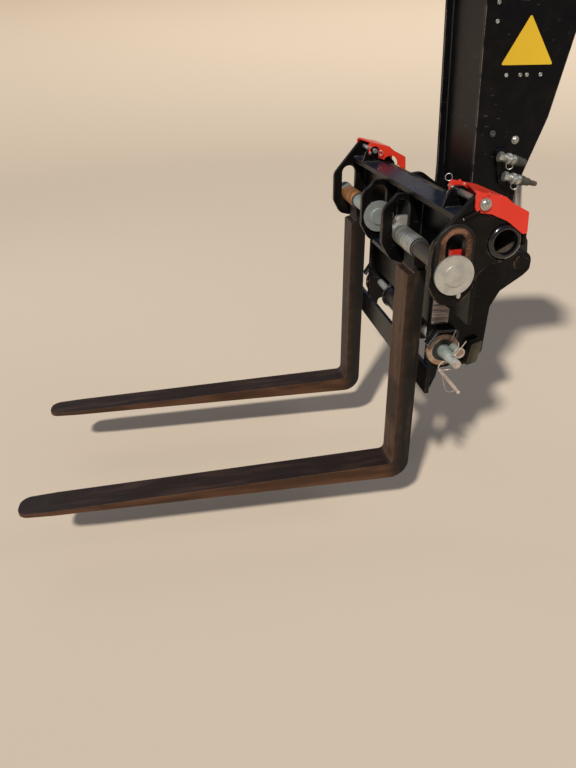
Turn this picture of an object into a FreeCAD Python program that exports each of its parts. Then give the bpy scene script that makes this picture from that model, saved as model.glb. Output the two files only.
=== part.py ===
import FreeCAD, Part
import math
import os
import re

# Telehandler boom head with a quick hitch and a floating fork carriage.
# X points forward along the fork blades, Y to the machine's left, Z up.
# Sizes are in millimetres. The sheet measures forward and up from the heel of the forks:
# forward = 0 is the back face of the fork shanks, up = 0 is the underside of the blades.
# The finished part is moved so that its origin lies in the cut end of the boom section.

doc = FreeCAD.newDocument("boom_head")
Vector = FreeCAD.Vector

# Driving dimensions
DIMENSIONS = {
    # cut end of the boom section, where the part is held
    "mount_forward": -700,
    "mount_up": 1491,
    # forks
    "fork_width": 100,
    "fork_thickness": 55,
    "fork_reach": 1200,
    "fork_tip_thickness": 12,
    "fork_tip_width": 88,
    "fork_tip_taper": 110,
    "fork_tip_radius": 36,
    "fork_heel_radius": 62,
    "fork_inner_radius": 20,
    "shank_top": 702,
    "neck_front": 36,
    "neck_width": 84,
    "left_fork_gap": 12,
    "right_fork_gap": 5,
    "eye_radius": 28,
    "eye_length": 148,
    "eye_overhang": 26,
    # fork shafts and their caps
    "axis_forward": 36,
    "axis_up": 786,
    "shaft_radius": 22.5,
    "pin_play": 0.05,
    "shaft_tail": 64,
    "cap_radius": 49,
    "cap_thickness": 9,
    "cap_boss_radius": 26,
    "cap_boss_height": 4,
    "cap_play": 0.3,
    "key_width": 34,
    "key_length": 18,
    "key_setback": 4,
    "key_top": 834,
    "keeper_radius": 30,
    "keeper_thickness": 8,
    "float_travel": 72,
    "slot_play": 3.5,
    # ear plates of the carriage
    "ear_thickness": 20,
    "outer_ear_side": 490,
    "inner_ear_side": 102,
    "shaft_length": "=outer_ear_side - inner_ear_side + shaft_tail",
    "ear_front": 92,
    "ear_shoulder": 856,
    "ear_bottom": 700,
    "pad_thickness": 6,
    "pad_radius": 46,
    # carriage frame
    "bar_front": 22,
    "bar_depth": 77,
    "bar_top": 914,
    "bar_thickness": 15,
    "back_front": -28,
    "back_thickness": 12,
    "back_bottom": 545,
    "wing_bottom": 640,
    "web_top": 712,
    "web_thickness": 12,
    "web_depth": 80,
    "leg_inset": 198,
    "leg_side": "=outer_ear_side - leg_inset",
    "leg_thickness": 20,
    "leg_swell": 54,
    "leg_front": -5,
    "leg_bottom": 362,
    "rail_front": -0.3,
    "rail_depth": 12,
    "rail_bottom": 357,
    "rail_top": 440,
    "rail_left_end": 336,
    "rail_right_end": -474,
    # lock pin and its bosses
    "pin_forward": -49,
    "pin_up": 490,
    "pin_radius": 12.5,
    "pin_left_end": 420,
    "pin_right_end": -345,
    "boss_radius": 49,
    "boss_height": 10,
    "hood_length": 30,
    "hood_thickness": 7,
    "hood_rise": 71,
    "hood_reach": 58,
    "hood_bend": 29,
    "hood_tail": 33,
    "hood_drop": 44,
    "hood_lip": 25,
    # latches on the top bar
    "latch_width": 160,
    "latch_thickness": 5,
    "latch_play": 2,
    "latch_pivot_forward": -20,
    "latch_pivot_up": 951,
    "latch_bolt_radius": 8,
    "latch_arch_radius": 15,
    "latch_relief_radius": 28,
    "latch_relief_forward": -78,
    "latch_relief_up": 905,
    "latch_web_inner": -43,
    "latch_web_outer": 2,
    "lug_thickness": 12,
    # hitch
    "tube_forward": -88,
    "tube_up": 857,
    "tube_radius": 45,
    "tube_bore": 36,
    "tube_inset": 5,
    "hook_play": 0.3,
    "hook_wall": 8,
    "hitch_side": 142,
    "hitch_thickness": 18,
    "hitch_plate_front": -88,
    "hitch_plate_thickness": 12,
    "hitch_plate_bottom": 430,
    "hitch_plate_top": 790,
    "eye_tube_radius": 37,
    "pivot_forward": -228,
    "pivot_up": 800,
    "pivot_radius": 30,
    "pivot_boss": 60,
    "pivot_head": 44,
    "lobe_reach": 66,
    "lug_forward": -400,
    "lug_up": 649,
    "lug_side": 40,
    "lug_plate": 20,
    "lug_pin_radius": 22,
    "lug_radius": 36,
    # boom nose
    "nose_half_width": 137,
    "nose_plate": 10,
    "nose_front_low": -162,
    "nose_front_high": -143,
    "nose_cover": 8,
    "nose_recess": 22,
    "boom_half_width": 127,
    "boom_bottom": 1350,
    "boom_height": 282,
    "boom_wall": 8,
    "boom_front": -400,
    # tilt cylinder
    "barrel_forward": -275,
    "barrel_up": 1500,
    "barrel_radius": 50,
    "barrel_length": 460,
    "barrel_eye_radius": 40,
    "barrel_pin_radius": 20,
    "rod_radius": 29,
    "rod_play": 0.2,
    "rod_inside": 106,
    "rod_eye_radius": 38,
    "rod_eye_half_width": 33,
    "rod_neck_length": 84,
    # hydraulic couplers
    "coupler_radius": 15,
    "coupler_length": 86,
    "coupler_nose_radius": 10.5,
    "coupler_nose_length": 26,
    "coupler_slope": 14,
    "bracket_thickness": 12,
}

sheet = doc.addObject("Spreadsheet::Sheet", "Sizes")
for row, (alias, number) in enumerate(DIMENSIONS.items(), start=1):
    sheet.set(f"A{row}", alias)
    sheet.set(f"B{row}", str(number))
    sheet.setAlias(f"B{row}", alias)
doc.recompute()


class Sizes:
    """Reads a driving dimension from the sheet by its alias."""

    def __getattr__(self, alias):
        return float(sheet.get(alias))


size = Sizes()
pieces = {}


def bind(feature, prop, text):
    """Bind a property to an expression written with the sheet's aliases."""
    feature.setExpression(prop, re.sub(r"[a-z]\w+", lambda word: "Sizes." + word.group(0), text))


def place(feature, forward, side, up):
    """Bind a feature's place, measured from the forks' heel, in the part's own frame."""
    bind(feature, ".Placement.Base.x", f"{forward} - mount_forward")
    bind(feature, ".Placement.Base.y", side)
    bind(feature, ".Placement.Base.z", f"{up} - mount_up")


def keep(label, feature):
    """Give a finished sub-part its label and list it for writing."""
    feature.Label = label
    pieces[label] = feature
    return feature


def block(name, forward, side, up):
    """A box between two ends on each axis, each end an expression."""
    feature = doc.addObject("Part::Box", name)
    bind(feature, "Length", f"({forward[1]}) - ({forward[0]})")
    bind(feature, "Width", f"({side[1]}) - ({side[0]})")
    bind(feature, "Height", f"({up[1]}) - ({up[0]})")
    place(feature, forward[0], side[0], up[0])
    return feature


def round_bar(name, radius, forward, up, start, end):
    """A round bar along Y between two sides."""
    feature = doc.addObject("Part::Cylinder", name)
    feature.Placement.Rotation = FreeCAD.Rotation(Vector(1, 0, 0), -90)
    bind(feature, "Radius", radius)
    bind(feature, "Height", f"({end}) - ({start})")
    place(feature, forward, start, up)
    return feature


def mirrored(ends, sign):
    """The two ends of a bar on the left side, or of its mirror on the right side."""
    return ends if sign > 0 else (f"-({ends[1]})", f"-({ends[0]})")


def fuse(name, *features):
    """Join features into one solid without seams."""
    feature = doc.addObject("Part::MultiFuse", name)
    feature.Shapes = list(features)
    feature.Refine = True
    return feature


def cut(name, base, *tools):
    """Cut one or more tools from a base."""
    tool = tools[0] if len(tools) == 1 else fuse(name + "_tools", *tools)
    feature = doc.addObject("Part::Cut", name)
    feature.Base = base
    feature.Tool = tool
    feature.Refine = True
    return feature


def rounded_edges(corners):
    """Lines and tangent arcs round a closed outline of (across, up, corner radius)."""
    count = len(corners)
    starts, ends, arcs = [], [], []
    for index, (across, up, radius) in enumerate(corners):
        here = Vector(across, up, 0)
        before = Vector(*corners[index - 1][:2], 0) - here
        after = Vector(*corners[(index + 1) % count][:2], 0) - here
        if radius == 0:
            starts.append(here)
            ends.append(here)
            arcs.append(None)
            continue
        half = before.getAngle(after) / 2
        run = radius / math.tan(half)
        first = here + before.normalize() * run
        last = here + after.normalize() * run
        middle = here + (before + after).normalize() * (radius / math.sin(half) - radius)
        starts.append(first)
        ends.append(last)
        arcs.append(Part.Arc(first, middle, last))
    edges = []
    for index in range(count):
        if arcs[index]:
            edges.append(arcs[index])
        following = starts[(index + 1) % count]
        if (following - ends[index]).Length > 1e-6:
            edges.append(Part.LineSegment(ends[index], following))
    return edges


def slot_edges(forward, low, high, radius):
    """A vertical slot with round ends: two lines and two arcs."""
    left, right = forward - radius, forward + radius
    return [
        Part.LineSegment(Vector(right, low, 0), Vector(right, high, 0)),
        Part.Arc(Vector(right, high, 0), Vector(forward, high + radius, 0), Vector(left, high, 0)),
        Part.LineSegment(Vector(left, high, 0), Vector(left, low, 0)),
        Part.Arc(Vector(left, low, 0), Vector(forward, low - radius, 0), Vector(right, low, 0)),
    ]


def circle(forward, up, radius):
    return [Part.Circle(Vector(forward, up, 0), Vector(0, 0, 1), radius)]


def plate(name, thickness, middle, corners, holes=(), plane="XZ_Plane"):
    """A flat plate: a sketched outline with its holes, padded both ways from its middle."""
    body = doc.addObject("PartDesign::Body", name)
    sketch = body.newObject("Sketcher::SketchObject", name + "_outline")
    base = [item for item in body.Origin.OriginFeatures if item.Role == plane][0]
    sketch.AttachmentSupport = [(base, "")]
    sketch.MapMode = "FlatFace"
    sketch.addGeometry(rounded_edges(corners), False)
    for hole in holes:
        sketch.addGeometry(hole, False)
    pad = body.newObject("PartDesign::Pad", name + "_pad")
    pad.Profile = sketch
    pad.Midplane = True
    bind(pad, "Length", thickness)
    if plane == "XZ_Plane":
        place(body, "0", middle, "0")
    elif plane == "XY_Plane":
        place(body, "0", "0", middle)
    else:
        place(body, middle, "0", "0")
    return body


# Forks: blade, shank, neck and the eye that hangs on the shaft
BOTH = (("left", 1), ("right", -1))

fork_front = size.fork_thickness
FORK_OUTLINE = [
    (0, 0, size.fork_heel_radius),
    (fork_front + size.fork_reach, 0, 0),
    (fork_front + size.fork_reach, size.fork_tip_thickness, 0),
    (fork_front, size.fork_thickness, size.fork_inner_radius),
    (fork_front, size.shank_top, 6),
    (size.neck_front, size.shank_top + 5, 4),
    (size.neck_front, size.axis_up - size.eye_radius / 2, 0),
    (6, size.axis_up - size.eye_radius / 2, 0),
    (0, size.shank_top + 10, 20),
]
FORK_SIDE = {
    "left": "(inner_ear_side + ear_thickness + left_fork_gap + eye_overhang)",
    "right": "(right_fork_gap + eye_overhang - outer_ear_side)",
}
for name, _ in BOTH:
    side = FORK_SIDE[name]
    middle = f"{side} + fork_width / 2"
    bar = plate(f"{name}_fork_bar", "fork_width", middle, FORK_OUTLINE)
    eye = round_bar(f"{name}_eye", "eye_radius", "axis_forward", "axis_up",
                    f"{side} - eye_overhang", f"{side} - eye_overhang + eye_length")
    bore = round_bar(f"{name}_eye_bore", "shaft_radius + pin_play", "axis_forward", "axis_up",
                     f"{side} - eye_overhang - 1", f"{side} - eye_overhang + eye_length + 1")
    tip = fork_front + size.fork_reach
    start = tip - size.fork_tip_taper
    half, narrow = size.fork_width / 2, size.fork_tip_width / 2
    trims = []
    for edge in (1, -1):
        corners = [
            (start, edge * half, 0),
            (tip, edge * narrow, size.fork_tip_radius),
            (tip, 0, 0),
            (tip + 1, 0, 0),
            (tip + 1, edge * (half + 1), 0),
            (start, edge * (half + 1), 0),
        ]
        trim = plate(f"{name}_tip_trim_{edge + 1}", "fork_thickness * 4", "0", corners, plane="XY_Plane")
        bind(trim, ".Placement.Base.y", middle)
        trims.append(trim)
    neck_trims = []
    for edge, sign in (("left", 1), ("right", -1)):
        low = "neck_width / 2" if sign > 0 else "-fork_width / 2 - 1"
        high = "fork_width / 2 + 1" if sign > 0 else "-neck_width / 2"
        neck_trims.append(block(f"{name}_neck_trim_{edge}", ("-1", "fork_thickness + 1"),
                                (f"{middle} + {low}", f"{middle} + {high}"),
                                ("shank_top + 12", "axis_up")))
    shaped = cut(f"{name}_fork_shaped", bar, *trims, *neck_trims)
    keep(f"{name}_fork", cut(f"{name}_fork", fuse(f"{name}_fork_whole", shaped, eye), bore))

# Fork shafts, each with a flanged cap on its left end and a keeper ring on its right end
CAP_SEAT = {
    "left": "outer_ear_side + ear_thickness + pad_thickness + cap_play",
    "right": "cap_play - inner_ear_side",
}
for name, _ in BOTH:
    seat = CAP_SEAT[name]
    shaft = round_bar(f"{name}_shaft_bar", "shaft_radius", "axis_forward", "axis_up",
                      f"{seat} - shaft_length", seat)
    cap = round_bar(f"{name}_cap", "cap_radius", "axis_forward", "axis_up", seat,
                    f"{seat} + cap_thickness")
    boss = round_bar(f"{name}_cap_boss", "cap_boss_radius", "axis_forward", "axis_up",
                     f"{seat} + cap_thickness", f"{seat} + cap_thickness + cap_boss_height")
    keeper = round_bar(f"{name}_keeper", "keeper_radius", "axis_forward", "axis_up",
                       f"{seat} - shaft_length + 6", f"{seat} - shaft_length + 6 + keeper_thickness")
    details = [cap, boss, keeper]
    if name == "left":
        key_end = "outer_ear_side - key_length / 3"
        key_ends = ("axis_forward - key_setback - key_width", "axis_forward - key_setback")
        details.append(block("shaft_key", key_ends, (f"{key_end} - key_length", key_end),
                             ("axis_up", "key_top")))
    keep(f"{name}_fork_shaft", fuse(f"{name}_fork_shaft", shaft, *details))

# Ear plates of the carriage
slot_radius = size.shaft_radius + size.slot_play
slot_low = size.axis_up
slot_high = size.axis_up + size.float_travel
front = size.ear_front
hook_radius = size.tube_radius + size.hook_play
tube_forward, tube_up = size.tube_forward, size.tube_up
hook_out = size.tube_radius + size.hook_wall
hook_end = tube_up - size.tube_radius - 1
SLOT = slot_edges(size.axis_forward, slot_low, slot_high, slot_radius)
OUTER_EAR = [
    (20, size.ear_bottom, 30),
    (68, size.ear_bottom + 12, 30),
    (front, 758, 25),
    (front, size.ear_shoulder, 35),
    (0, 966, 14),
    (-38, 966, 18),
    (tube_forward + hook_out, tube_up + hook_out + 10, 12),
    (tube_forward - hook_out / 2, tube_up + hook_out + 2, 30),
    (tube_forward - hook_out, tube_up + 33, 22),
    (tube_forward - hook_out, tube_up - 11, 4),
    (tube_forward - 8, tube_up - 11, 0),
    (tube_forward - 8, hook_end, 0),
    (tube_forward + 30, tube_up - hook_out, 30),
    (tube_forward + 59, tube_up - hook_out - 24, 20),
    (-14, 735, 25),
]
INNER_EAR = [
    (size.back_front, 690, 0),
    (16, 690, 25),
    (64, 712, 30),
    (front, 758, 25),
    (front, size.ear_shoulder, 35),
    (50, size.bar_top - size.bar_thickness, 8),
    (size.back_front, size.bar_top - size.bar_thickness, 0),
]
for name, sign in BOTH:
    outer = f"{sign} * (outer_ear_side + ear_thickness / 2)"
    blank = plate(f"{name}_outer_ear_plate", "ear_thickness", outer, OUTER_EAR, [SLOT])
    notch = round_bar(f"{name}_hook_notch", "tube_radius + hook_play", "tube_forward", "tube_up",
                      f"{outer} - ear_thickness", f"{outer} + ear_thickness")
    bolt_hole = round_bar(f"{name}_ear_bolt_hole", "latch_bolt_radius + pin_play", "latch_pivot_forward",
                          "latch_pivot_up", f"{outer} - ear_thickness", f"{outer} + ear_thickness")
    keep(f"{name}_outer_ear", cut(f"{name}_outer_ear", blank, notch, bolt_hole))
    inner = f"{sign} * (inner_ear_side + ear_thickness / 2)"
    keep(f"{name}_inner_ear", plate(f"{name}_inner_ear", "ear_thickness", inner, INNER_EAR, [SLOT]))

# Worn pad round the left slot, on the outer face of the left ear
PAD = slot_edges(size.axis_forward, slot_low, slot_high, size.pad_radius)
pad_body = plate("slot_pad", "pad_thickness", "outer_ear_side + ear_thickness + pad_thickness / 2",
                 [(-200, 600, 0), (200, 600, 0), (200, 950, 0), (-200, 950, 0)], [])
sketch = pad_body.Group[0]
sketch.delGeometries(list(range(sketch.GeometryCount)))
sketch.addGeometry(PAD + SLOT, False)
keep("slot_pad", pad_body)

# Carriage frame: top bar, back plate, centre web, legs and lower rail
keep("top_bar", block("top_bar", ("bar_front - bar_depth", "bar_front"),
                      ("-outer_ear_side", "outer_ear_side"), ("bar_top - bar_thickness", "bar_top")))

bar_bottom = size.bar_top - size.bar_thickness
wing, trunk = size.outer_ear_side, size.leg_side
BACK_OUTLINE = [
    (-wing, size.wing_bottom, 0), (-trunk, size.wing_bottom, 0), (-trunk, size.back_bottom, 0),
    (trunk, size.back_bottom, 0), (trunk, size.wing_bottom, 0), (wing, size.wing_bottom, 0),
    (wing, bar_bottom, 0), (-wing, bar_bottom, 0),
]
keep("back_plate", plate("back_plate", "back_thickness", "back_front - back_thickness / 2",
                         BACK_OUTLINE, plane="YZ_Plane"))
keep("centre_web", block("centre_web", ("back_front", "back_front + web_depth"),
                         ("-inner_ear_side", "inner_ear_side"),
                         ("web_top - web_thickness", "web_top")))
keep("lower_rail", block("lower_rail", ("rail_front - rail_depth", "rail_front"),
                         ("rail_right_end", "rail_left_end"), ("rail_bottom", "rail_top")))

pin_forward, pin_up = size.pin_forward, size.pin_up
rail_back = size.rail_front - size.rail_depth
LEG_OUTLINE = [
    (-24, size.leg_bottom, 4),
    (rail_back, size.leg_bottom, 0),
    (rail_back, size.rail_top, 0),
    (size.leg_front, size.rail_top, 0),
    (size.leg_front, 690, 15),
    (size.back_front, 716, 0),
    (size.back_front, size.wing_bottom, 0),
    (-80, size.wing_bottom, 20),
    (-84, 560, 30),
    (pin_forward - size.leg_swell, 530, 25),
    (pin_forward - size.leg_swell, 450, 25),
    (-75, 430, 20),
    (-43, 428, 12),
    (-39, 400, 30),
]
for name, sign in BOTH:
    middle = f"{sign} * (leg_side + leg_thickness / 2)"
    leg = plate(f"{name}_leg_plate", "leg_thickness", middle, LEG_OUTLINE,
                [circle(pin_forward, pin_up, size.pin_radius + size.pin_play)])
    keep(f"{name}_leg", leg)
    start, end = mirrored(("leg_side + leg_thickness", "leg_side + leg_thickness + boss_height"), sign)
    ring = round_bar(f"{name}_boss_disc", "boss_radius", "pin_forward", "pin_up", start, end)
    hole = round_bar(f"{name}_boss_hole", "pin_radius + pin_play", "pin_forward", "pin_up",
                     f"{start} - 1", f"{end} + 1")
    keep(f"{name}_boss", cut(f"{name}_boss", ring, hole))
    # bent guard over the boss
    sheet_metal, hood_top = size.hood_thickness, pin_up + size.hood_rise
    hood_front, hood_back = pin_forward + size.hood_reach, pin_forward - size.hood_tail
    hood_bend = pin_forward + size.hood_bend
    hood = [
        (hood_front, hood_top - size.hood_drop, 0),
        (hood_bend, hood_top, 12),
        (hood_back, hood_top, 12),
        (hood_back, hood_top - size.hood_lip, 0),
        (hood_back + sheet_metal, hood_top - size.hood_lip, 0),
        (hood_back + sheet_metal, hood_top - sheet_metal, 6),
        (hood_bend - sheet_metal / 2, hood_top - sheet_metal, 6),
        (hood_front - sheet_metal, hood_top - size.hood_drop - sheet_metal / 2, 0),
    ]
    keep(f"{name}_pin_guard", plate(f"{name}_pin_guard", "hood_length",
                                    f"{sign} * (leg_side + leg_thickness + hood_length / 2)", hood))

keep("lock_pin", round_bar("lock_pin", "pin_radius", "pin_forward", "pin_up",
                           "pin_right_end", "pin_left_end"))

# Latches: folded channels that close the hooks, each on its bolt and held by its pin
pivot_x, pivot_z = size.latch_pivot_forward, size.latch_pivot_up
LATCH_CHEEK = [
    (1, 933, 15), (3, 980, 9), (-72, 964, 8), (-89, 950, 10), (-134, 927, 6), (-138, 876, 5),
    (-126, 876, 4), (-83, 908, 8), (-41, 926, 20),
]
LATCH_HOLLOW = [
    (10, 900, 0), (10, 976.5, 0), (-70, 959, 6), (-87, 945, 10), (-129, 923, 6), (-131, 912, 0),
    (-150, 912, 0), (-150, 840, 0), (-60, 840, 0),
]
LUG_OUTLINE = [
    (20, size.bar_top, 0), (10, 944, 12), (-4, 966, 14), (-38, 965, 18), (-52, size.bar_top, 0),
]
latch_outside = "(outer_ear_side + ear_thickness + latch_play + latch_thickness)"
lug_inside = f"({latch_outside} - latch_width + latch_thickness + latch_play)"
for name, sign in BOTH:
    middle = f"{sign} * ({latch_outside} - latch_width / 2)"
    shell = plate(f"{name}_latch_shell", "latch_width", middle, LATCH_CHEEK)
    hollow = plate(f"{name}_latch_hollow", "latch_width - 2 * latch_thickness", middle, LATCH_HOLLOW)
    bolt_hole = round_bar(f"{name}_latch_bolt_hole", "latch_bolt_radius + pin_play",
                          "latch_pivot_forward", "latch_pivot_up", f"{middle} - latch_width",
                          f"{middle} + latch_width")
    inner_side = f"{latch_outside} - latch_width - 1"
    tube_room = round_bar(f"{name}_latch_tube_room", "tube_radius + latch_play", "tube_forward",
                          "tube_up", *mirrored((inner_side, f"{latch_outside} - latch_thickness"), sign))
    arch_ends = mirrored((inner_side, f"{inner_side} + latch_thickness + 2"), sign)
    arch = round_bar(f"{name}_latch_arch", "latch_arch_radius", "latch_pivot_forward",
                     "latch_pivot_up", *arch_ends)
    relief = round_bar(f"{name}_latch_relief", "latch_relief_radius", "latch_relief_forward",
                       "latch_relief_up", *arch_ends)
    arch_foot = block(f"{name}_latch_arch_foot", ("latch_pivot_forward - latch_arch_radius",
                                                  "latch_pivot_forward + latch_arch_radius"),
                      arch_ends, ("latch_pivot_up - latch_arch_radius * 3", "latch_pivot_up"))
    # the web starts behind a slanting front edge, which leaves the bolt open to the front
    inner_end = size.outer_ear_side + size.ear_thickness + size.latch_play - size.latch_width
    inner_end += 2 * size.latch_thickness
    outer_end = size.outer_ear_side + size.ear_thickness + size.latch_play
    web_cut = plate(f"{name}_latch_web_cut", "latch_width", "latch_pivot_up", [
        (size.latch_web_inner, sign * inner_end, 0), (size.latch_web_outer, sign * outer_end, 0),
        (60, sign * outer_end, 0), (60, sign * inner_end, 0)], plane="XY_Plane")
    keep(f"{name}_latch", cut(f"{name}_latch", shell, hollow, bolt_hole, tube_room, arch, arch_foot,
                              relief, web_cut))
    lug = plate(f"{name}_latch_lug_plate", "lug_thickness",
                f"{sign} * ({lug_inside} + lug_thickness / 2)", LUG_OUTLINE,
                [circle(pivot_x, pivot_z, size.latch_bolt_radius + size.pin_play)])
    keep(f"{name}_latch_lug", lug)
    ends = (f"{latch_outside} - latch_width - 6", latch_outside)
    head_ends = (latch_outside, f"{latch_outside} + 7")
    bolt = round_bar(f"{name}_bolt_shank", "latch_bolt_radius", "latch_pivot_forward",
                     "latch_pivot_up", *mirrored(ends, sign))
    head = round_bar(f"{name}_bolt_head", "latch_bolt_radius * 1.7", "latch_pivot_forward",
                     "latch_pivot_up", *mirrored(head_ends, sign))
    keep(f"{name}_latch_bolt", fuse(f"{name}_latch_bolt", bolt, head))

# Hitch: cross tube, side plates, front plate, lower eye, pivot pin and tilt lugs
tube_end = "(outer_ear_side + ear_thickness - tube_inset)"
tube = round_bar("tube_bar", "tube_radius", "tube_forward", "tube_up", f"-{tube_end}", tube_end)
tube_hole = round_bar("tube_hole", "tube_bore", "tube_forward", "tube_up",
                      f"-{tube_end} - 1", f"{tube_end} + 1")
keep("cross_tube", cut("cross_tube", tube, tube_hole))

px, pz = size.pivot_forward, size.pivot_up
HITCH_SIDE = [
    (pin_forward - 37, 470, 10),
    (pin_forward, pin_up - 42, 30),
    (pin_forward + 38, pin_up - 10, 30),
    (-42, 540, 10),
    (-42, 822, 0),
    (tube_forward + 28, tube_up + hook_out - 5, 25),
    (tube_forward - 30, tube_up + hook_out + 2, 30),
    (-175, 872, 30),
    (px + 10, pz + size.lobe_reach, 40),
    (px - size.lobe_reach, pz + size.lobe_reach - 6, 50),
    (-302, 640, 30),
    (-292, 604, 10),
    (-262, 546, 20),
    (-257, 396, 30),
    (-230, 351, 30),
    (-150, 353, 30),
]
for name, sign in BOTH:
    middle = f"{sign} * (hitch_side + hitch_thickness / 2)"
    side_plate = plate(f"{name}_hitch_plate", "hitch_thickness", middle, HITCH_SIDE)
    passes = [
        round_bar(f"{name}_tube_pass", "tube_radius + pin_play", "tube_forward", "tube_up",
                  f"{middle} - hitch_thickness", f"{middle} + hitch_thickness"),
        round_bar(f"{name}_pivot_pass", "pivot_radius + pin_play", "pivot_forward", "pivot_up",
                  f"{middle} - hitch_thickness", f"{middle} + hitch_thickness"),
        round_bar(f"{name}_pin_pass", "pin_radius + pin_play", "pin_forward", "pin_up",
                  f"{middle} - hitch_thickness", f"{middle} + hitch_thickness"),
    ]
    keep(f"{name}_hitch_side", cut(f"{name}_hitch_side", side_plate, *passes))

keep("hitch_front_plate", block("hitch_front_plate",
                                ("hitch_plate_front - hitch_plate_thickness", "hitch_plate_front"),
                                ("-hitch_side", "hitch_side"),
                                ("hitch_plate_bottom", "hitch_plate_top")))
eye_bar = round_bar("lower_eye_bar", "eye_tube_radius", "pin_forward", "pin_up",
                    "-hitch_side", "hitch_side")
eye_hole = round_bar("lower_eye_hole", "pin_radius + pin_play", "pin_forward", "pin_up",
                     "-hitch_side - 1", "hitch_side + 1")
keep("lower_eye", cut("lower_eye", eye_bar, eye_hole))

pivot_bar = round_bar("pivot_bar", "pivot_radius", "pivot_forward", "pivot_up",
                      "-(hitch_side + hitch_thickness + 4)", "hitch_side + hitch_thickness + 4")
pivot_heads = [
    round_bar("pivot_head_left", "pivot_head", "pivot_forward", "pivot_up",
              "hitch_side + hitch_thickness", "hitch_side + hitch_thickness + 8"),
    round_bar("pivot_head_far", "pivot_head", "pivot_forward", "pivot_up",
              "-(hitch_side + hitch_thickness + 8)", "-(hitch_side + hitch_thickness)"),
]
keep("pivot_pin", fuse("pivot_pin", pivot_bar, *pivot_heads))

lug_x, lug_z, lug_r = size.lug_forward, size.lug_up, size.lug_radius
plate_back = size.hitch_plate_front - size.hitch_plate_thickness
TILT_LUG = [
    (plate_back, 545, 0),
    (plate_back, 715, 0),
    (-180, 722, 20),
    (-300, 722, 30),
    (-350, lug_z + lug_r + 6, 20),
    (lug_x - lug_r, lug_z + lug_r, lug_r - 1),
    (lug_x - lug_r, lug_z - 22, 20),
    (-416, 607, 16),
    (-335, 552, 40),
]
for name, sign in BOTH:
    keep(f"{name}_tilt_lug", plate(f"{name}_tilt_lug", "lug_plate",
                                   f"{sign} * (lug_side + lug_plate / 2)", TILT_LUG,
                                   [circle(lug_x, lug_z, size.lug_pin_radius + size.pin_play)]))
stubs = []
for name, sign in BOTH:
    stubs.append(round_bar(f"{name}_tilt_stub", "lug_pin_radius", "lug_forward", "lug_up",
                           *mirrored(("lug_side", "lug_side + lug_plate + 8"), sign)))
keep("tilt_lug_pins", fuse("tilt_lug_pins", *stubs))

# Boom nose: two side plates round the pivot, a bent front plate, a rear plate, the boom section
low, high = size.nose_front_low, size.nose_front_high
boss = size.pivot_boss
boom_top = size.boom_bottom + size.boom_height
nose_top = boom_top + size.nose_cover
NOSE_SIDE = [
    (low, pz - boss, boss - 1),
    (px - boss - 8, pz - boss, boss - 1),
    (-300, 900, 40),
    (-365, 1093, 60),
    (-406, 1310, 40),
    (-450, size.boom_bottom - 8, 30),
    (-560, size.boom_bottom - 8, 12),
    (-560, nose_top, 12),
    (high + 12, nose_top, 130),
    (high, 1371, 60),
    (low, 930, 60),
]
for name, sign in BOTH:
    middle = f"{sign} * (nose_half_width - nose_plate / 2)"
    keep(f"{name}_nose_side", plate(f"{name}_nose_side", "nose_plate", middle, NOSE_SIDE, [
        circle(px, pz, size.pivot_radius + size.pin_play),
        circle(size.barrel_forward, size.barrel_up, size.barrel_pin_radius + size.pin_play),
    ]))

recess, wall = size.nose_recess, size.nose_plate
NOSE_FRONT = [
    (low - recess - 2, 890, 0),
    (low - recess, 930, 60),
    (high - recess, 1371, 60),
    (high - recess + 10, boom_top, 120),
    (size.boom_front, boom_top, 0),
    (size.boom_front, boom_top - wall, 0),
    (high - recess + 10 - wall, boom_top - wall, 110),
    (high - recess - wall, 1371, 60),
    (low - recess - wall, 930, 60),
    (low - recess - wall - 2, 890, 0),
]
keep("nose_front_plate", plate("nose_front_plate", "2 * (nose_half_width - nose_plate)", "0",
                               NOSE_FRONT))
NOSE_REAR = [
    (-399, 1322, 0), (-410, size.boom_bottom, 0), (size.boom_front, size.boom_bottom, 0), (-389, 1322, 0),
]
keep("nose_rear_plate", plate("nose_rear_plate", "2 * (nose_half_width - nose_plate)", "0", NOSE_REAR))

outer_box = block("boom_outer", ("mount_forward", "boom_front"),
                  ("-boom_half_width", "boom_half_width"), ("boom_bottom", "boom_bottom + boom_height"))
inner_box = block("boom_inner", ("mount_forward - 1", "boom_front + 1"),
                  ("boom_wall - boom_half_width", "boom_half_width - boom_wall"),
                  ("boom_bottom + boom_wall", "boom_bottom + boom_height - boom_wall"))
keep("boom_section", cut("boom_section", outer_box, inner_box))

nose_boss_bar = round_bar("nose_boss_bar", "pivot_boss - 6", "pivot_forward", "pivot_up",
                          "nose_plate - nose_half_width", "nose_half_width - nose_plate")
nose_boss_hole = round_bar("nose_boss_hole", "pivot_radius + pin_play", "pivot_forward", "pivot_up",
                           "-nose_half_width", "nose_half_width")
keep("nose_boss", cut("nose_boss", nose_boss_bar, nose_boss_hole))

keep("barrel_pin", round_bar("barrel_pin", "barrel_pin_radius", "barrel_forward", "barrel_up",
                             "-nose_half_width - 6", "nose_half_width + 6"))

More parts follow.
